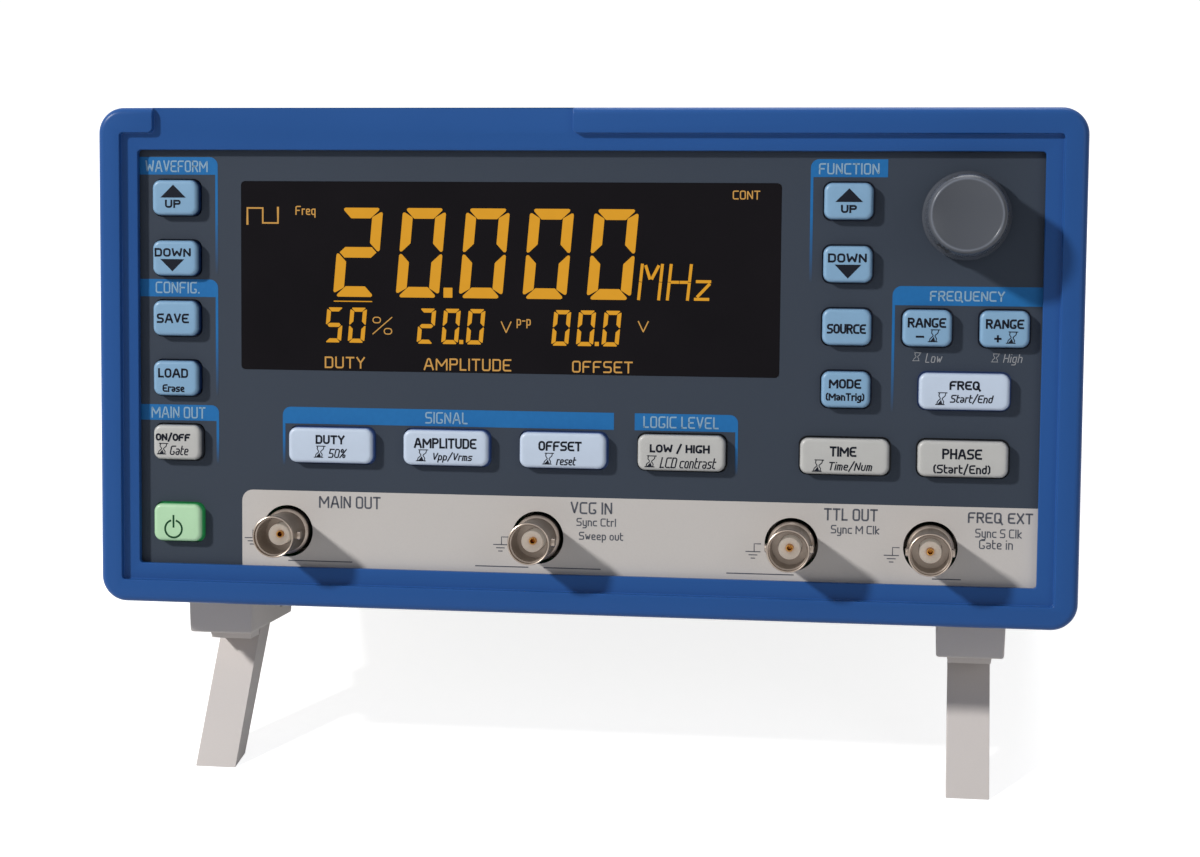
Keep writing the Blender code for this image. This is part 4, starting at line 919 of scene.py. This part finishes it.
# %% The recipe for segments
def rounded(tree, curve, radius, count):
    sizes = {"Radius": radius, "Count": count}
    return tree.add("GeometryNodeFilletCurve", {"mode": "POLY"}, Curve=curve, **sizes)


def trapezium(tree, bottom, top, height, offset=0.0):
    widths = {"Bottom_Width": bottom, "Top_Width": top}
    return quadrilateral(tree, "TRAPEZOID", **widths, Height=height, Offset=offset)


def blunted(tree, curve, thickness):
    """The inside of a curve, with its corners blunted."""
    return tree.add("GeometryNodeFillCurve", Curve=rounded(tree, curve, thickness * 0.15, 2))


def pointed(tree, length, thickness):
    """A bar with a point at each end: two flat trapeziums with their long sides together."""
    half = trapezium(tree, length - thickness, length, thickness / 2)
    flat = tree.add("GeometryNodeFillCurve", Curve=half)
    drop = tree.add("ShaderNodeCombineXYZ", Y=thickness / -4)
    lower = tree.add("GeometryNodeTransform", Geometry=flat, Translation=drop)
    upper = tree.add("GeometryNodeTransform", Geometry=lower, Rotation=(0, 0, math.pi))
    both = tree.add("GeometryNodeJoinGeometry", Geometry=[lower, upper])
    return tree.add("GeometryNodeMergeByDistance", Geometry=both, Distance=0.00001)


tree, wires = recipe("seven_segments", "Width", "Height", "Thickness", "Gap", "Depth")
thickness, gap = wires["Thickness"], wires["Gap"]
level = wires["Width"] - gap * 2
upright = wires["Height"] / 2 - gap * 1.2
shapes = [blunted(tree, trapezium(tree, level - thickness * 2, level, thickness), thickness)]
shapes.append(pointed(tree, level - gap * 2, thickness))
for slant in (0.2, -0.2):
    outline = trapezium(tree, upright - thickness * 1.6, upright, thickness, thickness * slant)
    shapes.append(blunted(tree, outline, thickness))
kind = tree.add("GeometryNodeInputNamedAttribute", {"data_type": "INT"}, Name="kind")
turn = tree.add("GeometryNodeInputNamedAttribute", {"data_type": "FLOAT"}, Name="turn")
spin = tree.add("ShaderNodeCombineXYZ", Z=turn)
equal = {"data_type": "INT", "operation": "EQUAL"}
placed = []
for number, shape in enumerate(shapes):
    chosen = tree.add("FunctionNodeCompare", equal, {2: kind, 3: number})
    placing = {"Selection": chosen, "Instance": shape, "Rotation": spin}
    placed.append(tree.add("GeometryNodeInstanceOnPoints", Points=wires["Geometry"], **placing))
flat = tree.add("GeometryNodeJoinGeometry", Geometry=placed)
real = tree.add("GeometryNodeRealizeInstances", Geometry=flat)
raised = {"Offset_Scale": wires["Depth"], "Individual": False}
thick = tree.add("GeometryNodeExtrudeMesh", {"mode": "FACES"}, Mesh=real, **raised)
SEGMENTS = finish_recipe(tree, thick, wires["Material"])

# %% Light the digits
LIT = {"0": "abcdef", "2": "abged", "5": "afgcd"}
SHEAR = math.tan(math.radians(4.9))
FIELD = PANEL - 0.01


def lit_segments(x, z, width, height, thickness, digit):
    """The place, shape and turn of each lit segment of a digit centred on x and z."""
    across, up, quarter, turn = (width - thickness) / 2, (height - thickness) / 2, height / 4, math.pi / 2
    segments = {
        "a": (0, up, 0, 0),
        "b": (across, quarter, 2, -turn),
        "c": (across, -quarter, 3, -turn),
        "d": (0, -up, 0, 2 * turn),
        "e": (-across, -quarter, 2, turn),
        "f": (-across, quarter, 3, turn),
        "g": (0, 0, 1, 0),
    }
    return [(x + dx, z + dz, kind, turn) for dx, dz, kind, turn in map(segments.get, LIT[digit])]


def digits(places, width, height, thickness, gap):
    """Lit digits, leaning by the display's shear and standing on the window."""
    rows = []
    for x, z, digit in places:
        rows += lit_segments(x, z, width, height, thickness, digit)
    mesh = bpy.data.meshes.new("lit")
    mesh.from_pydata([(x * MM, z * MM, 0) for x, z, _, _ in rows], [], [])
    for name, data_type, column in (("kind", "INT", 2), ("turn", "FLOAT", 3)):
        values = mesh.attributes.new(name, data_type, "POINT").data
        for value, row in zip(values, rows):
            value.value = row[column]
    sizes = {"Width": width, "Height": height, "Thickness": thickness, "Gap": gap, "Depth": PRINT}
    made = follow(SEGMENTS, mesh, segment_glow, **sizes)
    middle = places[0][1] * MM
    for vertex in made.vertices:
        x, z, depth = vertex.co
        vertex.co = (x + (z - middle) * SHEAR, FIELD * MM - abs(depth), z)
    return cleaned(made)


BIG_START, BIG_PITCH, BIG_Z = -51.85, 14.9, 82.85
SMALL_X, SMALL_Z = (-57.55, -52.0, -35.6, -29.8, -24.0, -4.0, 1.75, 7.65), 65.98
BIG_SIZES = (10.2, 20.6, 2.45, 0.36)
SMALL_SIZES = (3.95, 8.15, 0.95, 0.18)
big = [(BIG_START + BIG_PITCH * i, BIG_Z, digit) for i, digit in enumerate("20000")]
small = [(x, SMALL_Z, digit) for x, digit in zip(SMALL_X, "50200000")]
amber = [digits(big, *BIG_SIZES), digits(small, *SMALL_SIZES)]
print(sum(len(mesh.polygons) for mesh in amber), "faces in the digits")

# %% Points, unit letters and captions of the display
points = [rectangle(-31.6, -29.5, 72.6, 74.9, 0.1)]
points += [rectangle(x, x + 0.95, 61.95, 62.9) for x in (-27.85, 3.8)]
amber += [sheet_of([point], PRINTED, FIELD) for point in points]
M, H, Z = 14.2, 20.8, 27.0  # the left sides of the three unit letters
MIDDLE = 76.7
unit = [(x, z, x, z + 3.4) for x in (M, M + 4.6, H, H + 4.6) for z in (72.9, 77.1)]
unit += [(M + 0.9, 80.2, M + 2.0, 77.6), (M + 3.7, 80.2, M + 2.6, 77.6)]
unit += [(H + 0.7, MIDDLE, H + 1.9, MIDDLE), (H + 2.7, MIDDLE, H + 3.9, MIDDLE)]
unit += [(Z + 0.2, 76.9, Z + 3.0, 76.9), (Z + 2.9, 76.2, Z + 0.7, 73.6), (Z + 0.2, 72.9, Z + 3.0, 72.9)]
unit = [[(x + (z - MIDDLE) * 0.1, z) for x, z in (stroke[:2], stroke[2:])] for stroke in unit]
amber.append(inked([(stroke, False) for stroke in unit], 0.68, FIELD, segment_glow))
amber.append(inked([([(-57.5, 71.5), (-48.6, 71.5)], False)], 0.24, FIELD, segment_glow))
print(count(piece("lit_segments", joined(amber), segment_glow)))

CAPTIONS = (
    ("DUTY", -59.8, -50.2, 55.9, 58.6),
    ("AMPLITUDE", -36.2, -15.6, 55.8, 58.6),
    ("OFFSET", -1.4, 12.6, 55.8, 58.5),
)
SMALL_CAPTIONS = (
    ("Freq", -66.8, -62.0, 90.8, 93.5),
    ("V", -18.1, -15.6, 64.6, 67.3),
    ("p-p", -14.4, -11.1, 65.8, 67.9),
    ("V", 13.7, 16.2, 65.2, 67.8),
    ("CONT", 35.0, 41.2, 95.5, 97.5),
)
wave = [(-78.35, 89.3), (-78.35, 92.95), (-74.65, 92.95), (-74.65, 89.5), (-71.0, 89.5), (-71.0, 93.0)]
captions = [
    written(CAPTIONS, 0.36, FIELD, caption_glow),
    written(SMALL_CAPTIONS, 0.27, FIELD, caption_glow),
    inked([(wave, False)], 0.5, FIELD, caption_glow, corner=0),
    inked(lettered("%", -48.4, -43.7, 63.9, 68.0, 0.24), 0.24, FIELD, caption_glow, corner=9),
]
print(count(piece("display_captions", joined(captions), caption_glow)))

# %% [markdown]
# ## Keys
#
# The keys are translucent silicone caps with rounded edges, lit from behind. Nineteen of them differ
# only in width and height, so one recipe makes them all: a rounded rectangle, a profile that runs over
# its edge and down its side, and a flat face that closes it. Four of the wide ones glow more than the
# others, and the power key glows green.

# %% The recipe for a key
ARC_STEPS = 6
tree, wires = recipe("key_cap", "Width", "Height", "Corner", "Edge", "Depth")
edge, depth = wires["Edge"], wires["Depth"]
sizes = {name: wires[name] - edge * 2 for name in ("Width", "Height")}
outline = rounded(tree, quadrilateral(tree, "RECTANGLE", **sizes), wires["Corner"] - edge, 7)
ladder = tree.add("GeometryNodeMeshLine", Count=ARC_STEPS + 3, Offset=(0, 0.001, 0))
index = tree.add("GeometryNodeInputIndex")
angle = tree.math("MINIMUM", index / ARC_STEPS, 1.0) * (math.pi / 2)
is_low = index > ARC_STEPS + 0.5
is_last = index > ARC_STEPS + 1.5
outwards = edge * tree.math("SINE", angle) * (1 - is_last)
downwards = edge * (1 - tree.math("COSINE", angle)) * (1 - is_low) + depth * is_low
rung = tree.add("ShaderNodeCombineXYZ", X=outwards, Y=downwards)
steps = tree.add("GeometryNodeSetPosition", Geometry=ladder, Position=rung)
profile = tree.add("GeometryNodeMeshToCurve", Mesh=steps)
side = tree.add("GeometryNodeCurveToMesh", Curve=outline, Profile_Curve=profile)
face = tree.add("GeometryNodeFillCurve", Curve=outline)
both = tree.add("GeometryNodeJoinGeometry", Geometry=[side, face])
KEY_CAP = finish_recipe(tree, both, wires["Material"])


# %% Key finishes
def key_finish(name, face, shaded_wall, glow=0.0):
    """Silicone that is lightest on its face, with painted shade that darkens it down its wall."""
    gloss = {"Specular_IOR_Level": 0.3, "Coat_Weight": 0.2, "Coat_Roughness": 0.25}
    finish = Finish(name, Emission_Strength=glow, **gloss)
    depth = finish.add("ShaderNodeSeparateXYZ", Vector=finish.upright_place(), output="Y")
    below = finish.math("DIVIDE", depth - 1.25 * MM, 1.1 * MM, clamp=True)
    cloud = finish.noise(240, 3)
    fine = finish.noise(4200, 2)
    # Painted shade: the colour turns from the face's to the darker wall colour as the key's side runs back
    # towards the panel.
    tone = finish.blend(below, finish.wander(cloud, face, 0.05), shaded_wall)
    finish.set("Base Color", tone)
    if glow:
        finish.set("Emission Color", tone)
    finish.set("Roughness", 0.33 + cloud * 0.06 + fine * 0.05)
    finish.relief(fine, 0.004 * MM)
    return finish


# Each key's face colour, the darker colour painted down its wall as shade, and its glow.
KEY_FINISHES = {
    "blue": key_finish("key_pale_blue", srgb(128, 166, 198), srgb(26, 50, 94)),
    "lit": key_finish("key_lit_blue", srgb(181, 194, 212), srgb(66, 92, 150), 0.14),
    "beige": key_finish("key_beige", srgb(186, 186, 184), srgb(66, 70, 78)),
    "green": key_finish("key_power_green", srgb(160, 196, 160), srgb(44, 150, 84), 0.24),
}
print("key finishes:", ", ".join(KEY_FINISHES))

# %% Mould the keys
KEY_FRONT = 1.0
KEY_CORNER, KEY_EDGE = 1.9, 0.95
FLANGE = 5.5
FLANGE_RIM, FLANGE_CORNER = 1.0, 1.8
SKIRT = FLANGE + 0.5
PLUNGER_RADIUS, PLUNGER_END = 1.5, 9.3
for name, (x, z, width, height, kind) in KEYS.items():
    finish = KEY_FINISHES[kind]
    sizes = {"Width": width, "Height": height, "Corner": KEY_CORNER, "Edge": KEY_EDGE}
    cap = follow(KEY_CAP, bpy.data.meshes.new("empty"), finish, Depth=SKIRT - KEY_FRONT, **sizes)
    middle = Vector((x, KEY_FRONT, z)) * MM
    cap.transform(Matrix.Translation(middle) @ Matrix.Rotation(math.pi / 2, 4, "X"))
    half_x, half_z = width / 2 + FLANGE_RIM, height / 2 + FLANGE_RIM
    flange_corners = (x - half_x, FLANGE, z - half_z), (x + half_x, FLANGE + 1, z + half_z)
    flange = rounded_block(*flange_corners, FLANGE_CORNER, 4)
    plunger = sheet_of([circle(x, z, PLUNGER_RADIUS, 20)], SKIRT, PLUNGER_END)
    mesh = joined([cleaned(cap), flange, plunger])
    last = piece(name + "_cap", mesh, finish, name, [name])
print(count(last), "and", len(KEYS) - 1, "more keys")

# %% Key legends, each in mm from the middle of its key
TIP_UP, TIP_DOWN, GLASS, POWER = "tip up", "tip down", "glass", "power"
BOLD, PLAIN, ITALIC = (0.45, 0.0), (0.36, 0.0), (0.29, 0.22)  # width of line, lean
LEGENDS = {
    "wave_up": ((TIP_UP, -3.4, 2.75, 0.0, 3.0), ("UP", -2.3, 1.5, -2.4, -0.5)),
    "wave_down": (("DOWN", -4.9, 3.9, 0.3, 2.3), (TIP_DOWN, -3.5, 2.3, -3.1, -0.25)),
    "save": (("SAVE", -4.45, 3.35, -1.15, 1.1),),
    "load": (("LOAD", -4.2, 3.1, 0.1, 2.3), ("Erase", -3.15, 2.2, -3.25, -1.45, *PLAIN)),
    "output": (
        ("ON/OFF", -5.15, 3.3, 0.1, 2.3),
        (GLASS, -4.8, -2.15, -2.9, -0.2),
        ("Gate", -1.8, 3.15, -3.0, -0.75, *ITALIC),
    ),
    "power": ((POWER, -0.9, 0, -1.5, 0),),
    "function_up": ((TIP_UP, -2.95, 3.2, -0.2, 2.85), ("UP", -1.7, 1.85, -2.65, -0.85)),
    "function_down": (("DOWN", -4.4, 4.25, 0.35, 2.4), (TIP_DOWN, -2.9, 3.05, -3.2, -0.1)),
    "source": (("SOURCE", -4.4, 4.35, -1.5, 0.7),),
    "mode": (("MODE", -3.75, 3.5, 0.25, 2.4), ("(ManTrig)", -4.4, 4.25, -2.95, -0.75, *PLAIN)),
    "range_down": (
        ("RANGE", -4.3, 4.2, 0.1, 2.3),
        ("-", -2.45, -0.6, -2.15, -1.75),
        (GLASS, 0.3, 2.85, -3.1, -0.25),
    ),
    "range_up": (
        ("RANGE", -4.15, 4.25, 0.05, 2.2),
        ("+", -2.25, -0.65, -2.95, -1.35),
        (GLASS, 0.4, 2.9, -3.2, -0.5),
    ),
    "frequency": (
        ("FREQ", -3.25, 3.7, 0.1, 2.4),
        (GLASS, -6.25, -3.75, -3.05, -0.2),
        ("Start/End", -3.15, 6.65, -2.75, -0.45, *ITALIC),
    ),
    "duty": (
        ("DUTY", -3.45, 3.5, 0.35, 2.45),
        (GLASS, -3.8, -1.15, -2.85, -0.05),
        ("50%", -0.45, 4.1, -2.85, -0.7, *ITALIC),
    ),
    "amplitude": (
        ("AMPLITUDE", -7.4, 7.35, -0.1, 2.3),
        (GLASS, -6.85, -4.1, -3.15, -0.4),
        ("Vpp/Vrms", -3.25, 6.65, -3.35, -0.9, *ITALIC),
    ),
    "offset": (
        ("OFFSET", -5.55, 4.5, -0.1, 2.15),
        (GLASS, -4.55, -2.0, -3.25, -0.55),
        ("reset", -1.45, 3.45, -3.35, -1.4, *ITALIC),
    ),
    "logic_level": (
        ("LOW / HIGH", -7.2, 6.55, -0.2, 2.15),
        (GLASS, -8.3, -5.65, -3.35, -0.65),
        ("LCD contrast", -4.9, 8.3, -3.45, -1.0, *ITALIC),
    ),
    "time": (
        ("TIME", -3.3, 2.7, 0.0, 2.3),
        (GLASS, -7.15, -4.6, -3.5, -0.75),
        ("Time/Num", -3.75, 6.6, -3.4, -0.95, *ITALIC),
    ),
    "phase": (("PHASE", -4.55, 4.25, -0.05, 2.3), ("(Start/End)", -6.45, 6.15, -3.55, -1.0, *PLAIN)),
}


def key_words(text, left, right, low, high, finish, nib, lean):
    """The meshes of one text or sign on a key's face."""
    outline, runs = None, []
    if text == GLASS:
        runs, outline = hourglass(left, right, low, high)
        nib = 0.2
    elif text in (TIP_UP, TIP_DOWN):
        base, tip = (low, high) if text == TIP_UP else (high, low)
        outline = [(left, base), (right, base), ((left + right) / 2, tip)]
    elif text == POWER:
        runs = power_sign(left, low)
    else:
        runs = lettered(text, left, right, low, high, nib, lean)
    made = [sheet_of([outline], KEY_FRONT - PRINT, KEY_FRONT)] if outline else []
    return made + ([inked(runs, nib, KEY_FRONT, finish)] if runs else [])


for name, rows in LEGENDS.items():
    x, z, _, _, kind = KEYS["key_" + name]
    finish = power_ink if name == "power" else key_ink
    words = []
    for text, left, right, low, high, *hand in rows:
        words += key_words(text, x + left, x + right, z + low, z + high, finish, *(hand or BOLD))
    last = piece(f"key_{name}_legend", joined(words), finish, "key_" + name)
print(count(last))

# %% [markdown]
# ## Knob and sockets
#
# A turned part is a profile that is spun about an axis. The knob is a hollow cap with three groups of
# grip grooves cut down its side. A bayonet socket has a thin shell with a rolled lip, two lugs that lock
# the plug, a cream insulator with a dished end, and a gold contact in its middle.


# %% Turned shapes
TURNS = {
    "Y": Matrix.Rotation(math.pi / 2, 4, "X"),
    "X": Matrix.Rotation(math.pi / 2, 4, "Y"),
    "-X": Matrix.Rotation(-math.pi / 2, 4, "Y"),
}


def spun(profile, origin, axis="Y", steps=48):
    """A profile of radius and distance, in mm, spun about an axis. Distance runs towards the front."""
    bm = bmesh.new()
    line = [bm.verts.new((radius * MM, 0, distance * MM)) for radius, distance in profile]
    edges = [bm.edges.new(pair) for pair in zip(line, line[1:])]
    if profile[0][0] and profile[-1][0]:
        edges.append(bm.edges.new((line[-1], line[0])))
    turn = {"cent": (0, 0, 0), "axis": (0, 0, 1), "angle": 2 * math.pi, "steps": steps}
    bmesh.ops.spin(bm, geom=line + edges, use_merge=True, **turn)
    mesh = cleaned(mesh_of(bm), 1e-6)
    mesh.transform(Matrix.Translation(Vector(origin) * MM) @ TURNS[axis])
    return mesh


knob_profile = [
    (0, 15.12), (7.3, 15.12), (7.45, 15.2), (7.6, 15.28), (7.75, 15.3), (7.92, 15.24), (8.05, 15.08),
    (8.25, 14.95), (8.5, 14.6), (8.66, 14.1), (8.74, 13.4), (9.2, 4.4), (9.3, 3.6), (9.55, 3.0),
    (9.85, 2.65), (9.9, 2.4), (9.9, 0.9), (9.8, 0.68), (9.55, 0.6), (7.8, 0.6), (7.2, 12.8), (4.9, 12.8),
    (4.9, 0.6), (3.3, 0.6), (3.3, 12.9), (0, 12.9),
]
# RIDGE is the radius of the face's ridge; GLINT_HALF is the half width of the painted highlight ring on it.
RIDGE, GLINT_HALF = 7.75, 0.35
GROOVE_RADIUS, GROOVE_CIRCLE = 0.55, 9.1


def knob_plastic(colour):
    """Moulded grey with a painted highlight: a pale ring along the ridge of the face stands in for the
    light's glint there.
    """
    finish = moulded("knob_grey_moulding", colour, 0.26, grain=3000, depth=0.004, gloss=0.3)
    # Painted highlight: a pale ring is mixed into the colour along the face's ridge, where the light's glint
    # falls on its rounded top.
    place = {0: finish.upright_place(), 1: KNOB}
    away = {0: finish.add("ShaderNodeVectorMath", {"operation": "SUBTRACT"}, place), 1: (1, 0, 1)}
    flat = finish.add("ShaderNodeVectorMath", {"operation": "MULTIPLY"}, away)
    radius = finish.add("ShaderNodeVectorMath", {"operation": "LENGTH"}, {0: flat}, output="Value")
    distance = finish.math("ABSOLUTE", radius - RIDGE * MM)
    painted_glint = finish.math("SUBTRACT", 1.0, distance / (GLINT_HALF * MM), clamp=True)
    base = Wire(finish, finish.shader.inputs["Base Color"].links[0].from_socket)
    finish.set("Base Color", finish.blend(painted_glint * 0.55, base, scaled(colour, 3.2)))
    return finish


knob_finish = knob_plastic(srgb(76, 80, 88))
knob_x, _, knob_z = KNOB / MM
knob_mesh = spun(knob_profile, (knob_x, PANEL, knob_z), steps=96)
grooves = []
for middle in (-5, 115, 235):
    for turn in (-7, 0, 7):
        way = Matrix.Rotation(math.radians(middle + turn), 2) @ Vector((GROOVE_CIRCLE, 0))
        groove = circle(knob_x + way.x, knob_z + way.y, GROOVE_RADIUS, 20)
        grooves.append(sheet_of([groove], -14, -0.8))
knob_mesh = carved(knob_mesh, [joined(grooves)])
print(count(piece("knob_cap", knob_mesh, knob_finish, "knob", ["knob"], sharp=40)))

# %% Bayonet sockets
SOCKET = (0, PANEL, SOCKET_Z)
LUGS = (0, PANEL - 7.7, SOCKET_Z)
JACK_HALF, JACK_FRONT, JACK_BACK = 7, 14.6, 28
shell_profile = [
    (2.65, 3.3), (4.15, 3.3), (4.15, 11.1), (4.42, 11.35), (4.42, 12.05), (4.5, 12.25), (4.62, 12.3),
    (4.78, 12.22), (4.85, 12.0), (4.85, 10.9), (4.72, 10.7), (4.72, 1.5), (5.2, 1.1), (5.3, 0.95),
    (5.3, -12.2), (2.65, -12.2),
]
lug_profile = [(0, 5.5), (0.7, 5.5), (0.93, 5.4), (1.0, 5.15), (1.0, 4.3), (0, 4.3)]
insulator_profile = [
    (1.0, 6.2), (1.2, 6.4), (1.9, 7.0), (2.25, 7.25), (2.42, 7.28), (2.5, 7.15), (2.5, 3.4),
    (2.35, 3.4), (2.35, -11.9), (1.0, -11.9),
]
contact_profile = [
    (0, 2.3), (0.5, 2.3), (0.5, 6.5), (0.58, 6.66), (0.7, 6.7), (0.8, 6.6), (0.8, -11.9), (0, -11.9),
]
lugs = [spun(lug_profile, LUGS, axis, 20) for axis in ("X", "-X")]
jack_low = (-JACK_HALF, JACK_FRONT, SOCKET_Z - JACK_HALF)
jack_high = (JACK_HALF, JACK_BACK, SOCKET_Z + JACK_HALF)
jack = rounded_block(jack_low, jack_high, 0.6, 3, 0.4, 2)
CREAM = srgb(250, 240, 228)
# Painted light: the insulator glows faintly in its own cream, so that it stays bright deep inside the shell,
# where the shell's shadow falls.
cream = moulded("cream_dielectric", CREAM, 0.4, grain=3000, depth=0.004, Emission_Strength=0.16)
cream.set("Emission Color", CREAM)
for name, mesh, finish, slot in (
    ("bnc_shell", joined([spun(shell_profile, SOCKET), *lugs, jack]), nickel, "nickel"),
    ("bnc_insulator", spun(insulator_profile, SOCKET, steps=40), cream, "dielectric"),
    ("bnc_contact", spun(contact_profile, SOCKET, steps=32), gold, "gold"),
):
    nodes = [f"{name}_{number}" for number in (1, 2, 3, 4)]
    four = at_each_socket(mesh, finish)
    print(count(piece(name + "s", four, finish, stands_for=nodes, sharp=40)))

# %% [markdown]
# ## Case, feet and back
#
# The two case halves, the rear panel, the inlet and the feet already have their real shapes as solids.
# What they lack is the small radius that a mould leaves on every edge. Each is copied, its flat faces
# are made whole again, and a Bevel modifier rounds its sharp edges. Normals weighted by area then keep
# the large faces flat to the light.


# %% Round off the solids
def dressed(node, finish, width, slot, body=ROOT, steps=3):
    """A copy of a solid with its sharp edges rounded by a width in mm."""
    source = bpy.data.objects[node]
    mesh = source.data.copy()
    mesh.transform(source.matrix_world)
    mesh = edged(mesh, width, steps, merge=0.005)
    made = piece(node + "_moulding", mesh, finish, body, [node], upright=False)
    made.modifiers.new("weights", "WEIGHTED_NORMAL").keep_sharp = True
    made.data = plain_mesh(made)
    made.modifiers.clear()
    bpy.data.meshes.remove(mesh)
    made.data.name = made.name
    print(count(made))


dressed("top_cover", case_finish, 0.4, "case")
dressed("bottom_case", case_finish, 0.4, "case")
dressed("rear_panel", rear_finish, 0.25, "rear")
dressed("mains_inlet", black_finish, 0.3, "inlet")
drawer_finish = moulded("drawer_black_moulding", srgb(36, 36, 38), 0.5, drift=0.12)
dressed("fuse_drawer", drawer_finish, 0.3, "drawer", "fuse_drawer")
PAIRS = (("foot_housing", 0.5), ("leg", 0.6), ("rear_foot", 0.6), ("leg_pin", 0.2))  # and their edges
for kind, width in PAIRS:
    finish, slot = (steel, "steel") if kind == "leg_pin" else (foot_finish, "feet")
    for side in ("_left", "_right"):
        dressed(kind + side, finish, width, slot, "leg" + side if kind == "leg" else ROOT)
for number in (1, 2, 3, 4):
    dressed(f"case_screw_{number}", steel, 0.12, "steel", steps=2)

# %% Inner pieces keep their solids and get better finishes
tin = plated("tinned_can", srgb(176, 178, 180), 0.4)
board = moulded("board_laminate", srgb(34, 104, 66), 0.35, grain=1500, depth=0.01, drift=0.1)
core = moulded("core_laminations", srgb(96, 96, 100), 0.5, grain=2000, depth=0.02, drift=0.12)
INNER = {
    "lcd_module": tin,
    "keypad_board": board,
    "main_board": board,
    "mains_transformer": core,
    "output_heatsink": aluminium,
    "encoder_body": black_finish,
    "encoder_shaft": steel,
}
for node, finish in INNER.items():
    mesh = bpy.data.objects[node].data
    mesh.materials.clear()
    mesh.materials.append(finish.material)
print(len(INNER), "inner pieces have new finishes")

# %% [markdown]
# ## Light and ground
#
# The photograph has one soft light high on the left of the camera and a great deal of white around it.
# A floor and a world that are white to the camera and to mirrored rays, but dimmer to everything else,
# a disc, a large overhead panel and a faint fill from the right make that.


# %% The ground
def shown_rays(tree):
    """1 for the rays that show the surroundings: straight, mirrored and through glass."""
    rays = tree.add("ShaderNodeLightPath").socket.node.outputs
    kinds = ("Is Camera Ray", "Is Glossy Ray", "Is Transmission Ray")
    straight, mirrored, through = (Wire(tree, rays[kind]) for kind in kinds)
    return tree.math("ADD", straight + mirrored, through, clamp=True)


BLACK, WHITE = (0, 0, 0, 1), (1, 1, 1, 1)
ground = bmesh.new()
bmesh.ops.create_grid(ground, x_segments=24, y_segments=24, size=3.0)
floor_finish = Finish("pale_paper", Roughness=0.9, Emission_Strength=0.84, Specular_IOR_Level=0.1)
fibre = floor_finish.noise(600, 3)
floor_finish.set("Base Color", floor_finish.blend(fibre, srgb(200, 200, 200), srgb(206, 206, 206)))
shown = shown_rays(floor_finish)
floor_finish.set("Emission Color", floor_finish.blend(shown, BLACK, WHITE))
floor = draft(mesh_of(ground), "ground")
floor.data.materials.append(floor_finish.material)
print(count(floor))

# %% World and lamps
world = bpy.context.scene.world or bpy.data.worlds.new("surroundings")
bpy.context.scene.world = world
world.use_nodes = True
sky = Tree(world.node_tree)
background = world.node_tree.nodes["Background"]
DIM = (0.155, 0.16, 0.175, 1)
sky.feed(sky.blend(shown_rays(sky), DIM, WHITE), background.inputs["Color"])
background.inputs["Strength"].default_value = 1.0


def lamp(name, at, towards, size, power, colour=(1, 1, 1)):
    """A round area light that looks at a point. Both places are in the instrument's axes, in mm."""
    data = bpy.data.lights.new(name, "AREA")
    data.shape = "DISK"
    data.size = size * MM
    data.energy = power
    data.color = colour
    obj = bpy.data.objects.new(name, data)
    at, towards = BODY @ (Vector(at) * MM), BODY @ (Vector(towards) * MM)
    obj.location = at
    obj.rotation_euler = (at - towards).to_track_quat("Z", "Y").to_euler()
    bpy.context.scene.collection.objects.link(obj)


lamp("key_light", (-1612, -1300, 1176), (0, 0, 58), 195, 50.0, (1.0, 0.98, 0.95))
lamp("overhead_light", (60, 200, 900), (0, 60, 58), 600, 4.0, (0.97, 0.98, 1.0))
lamp("fill_light", (650, -700, 260), (60, 0, 58), 500, 0.8)
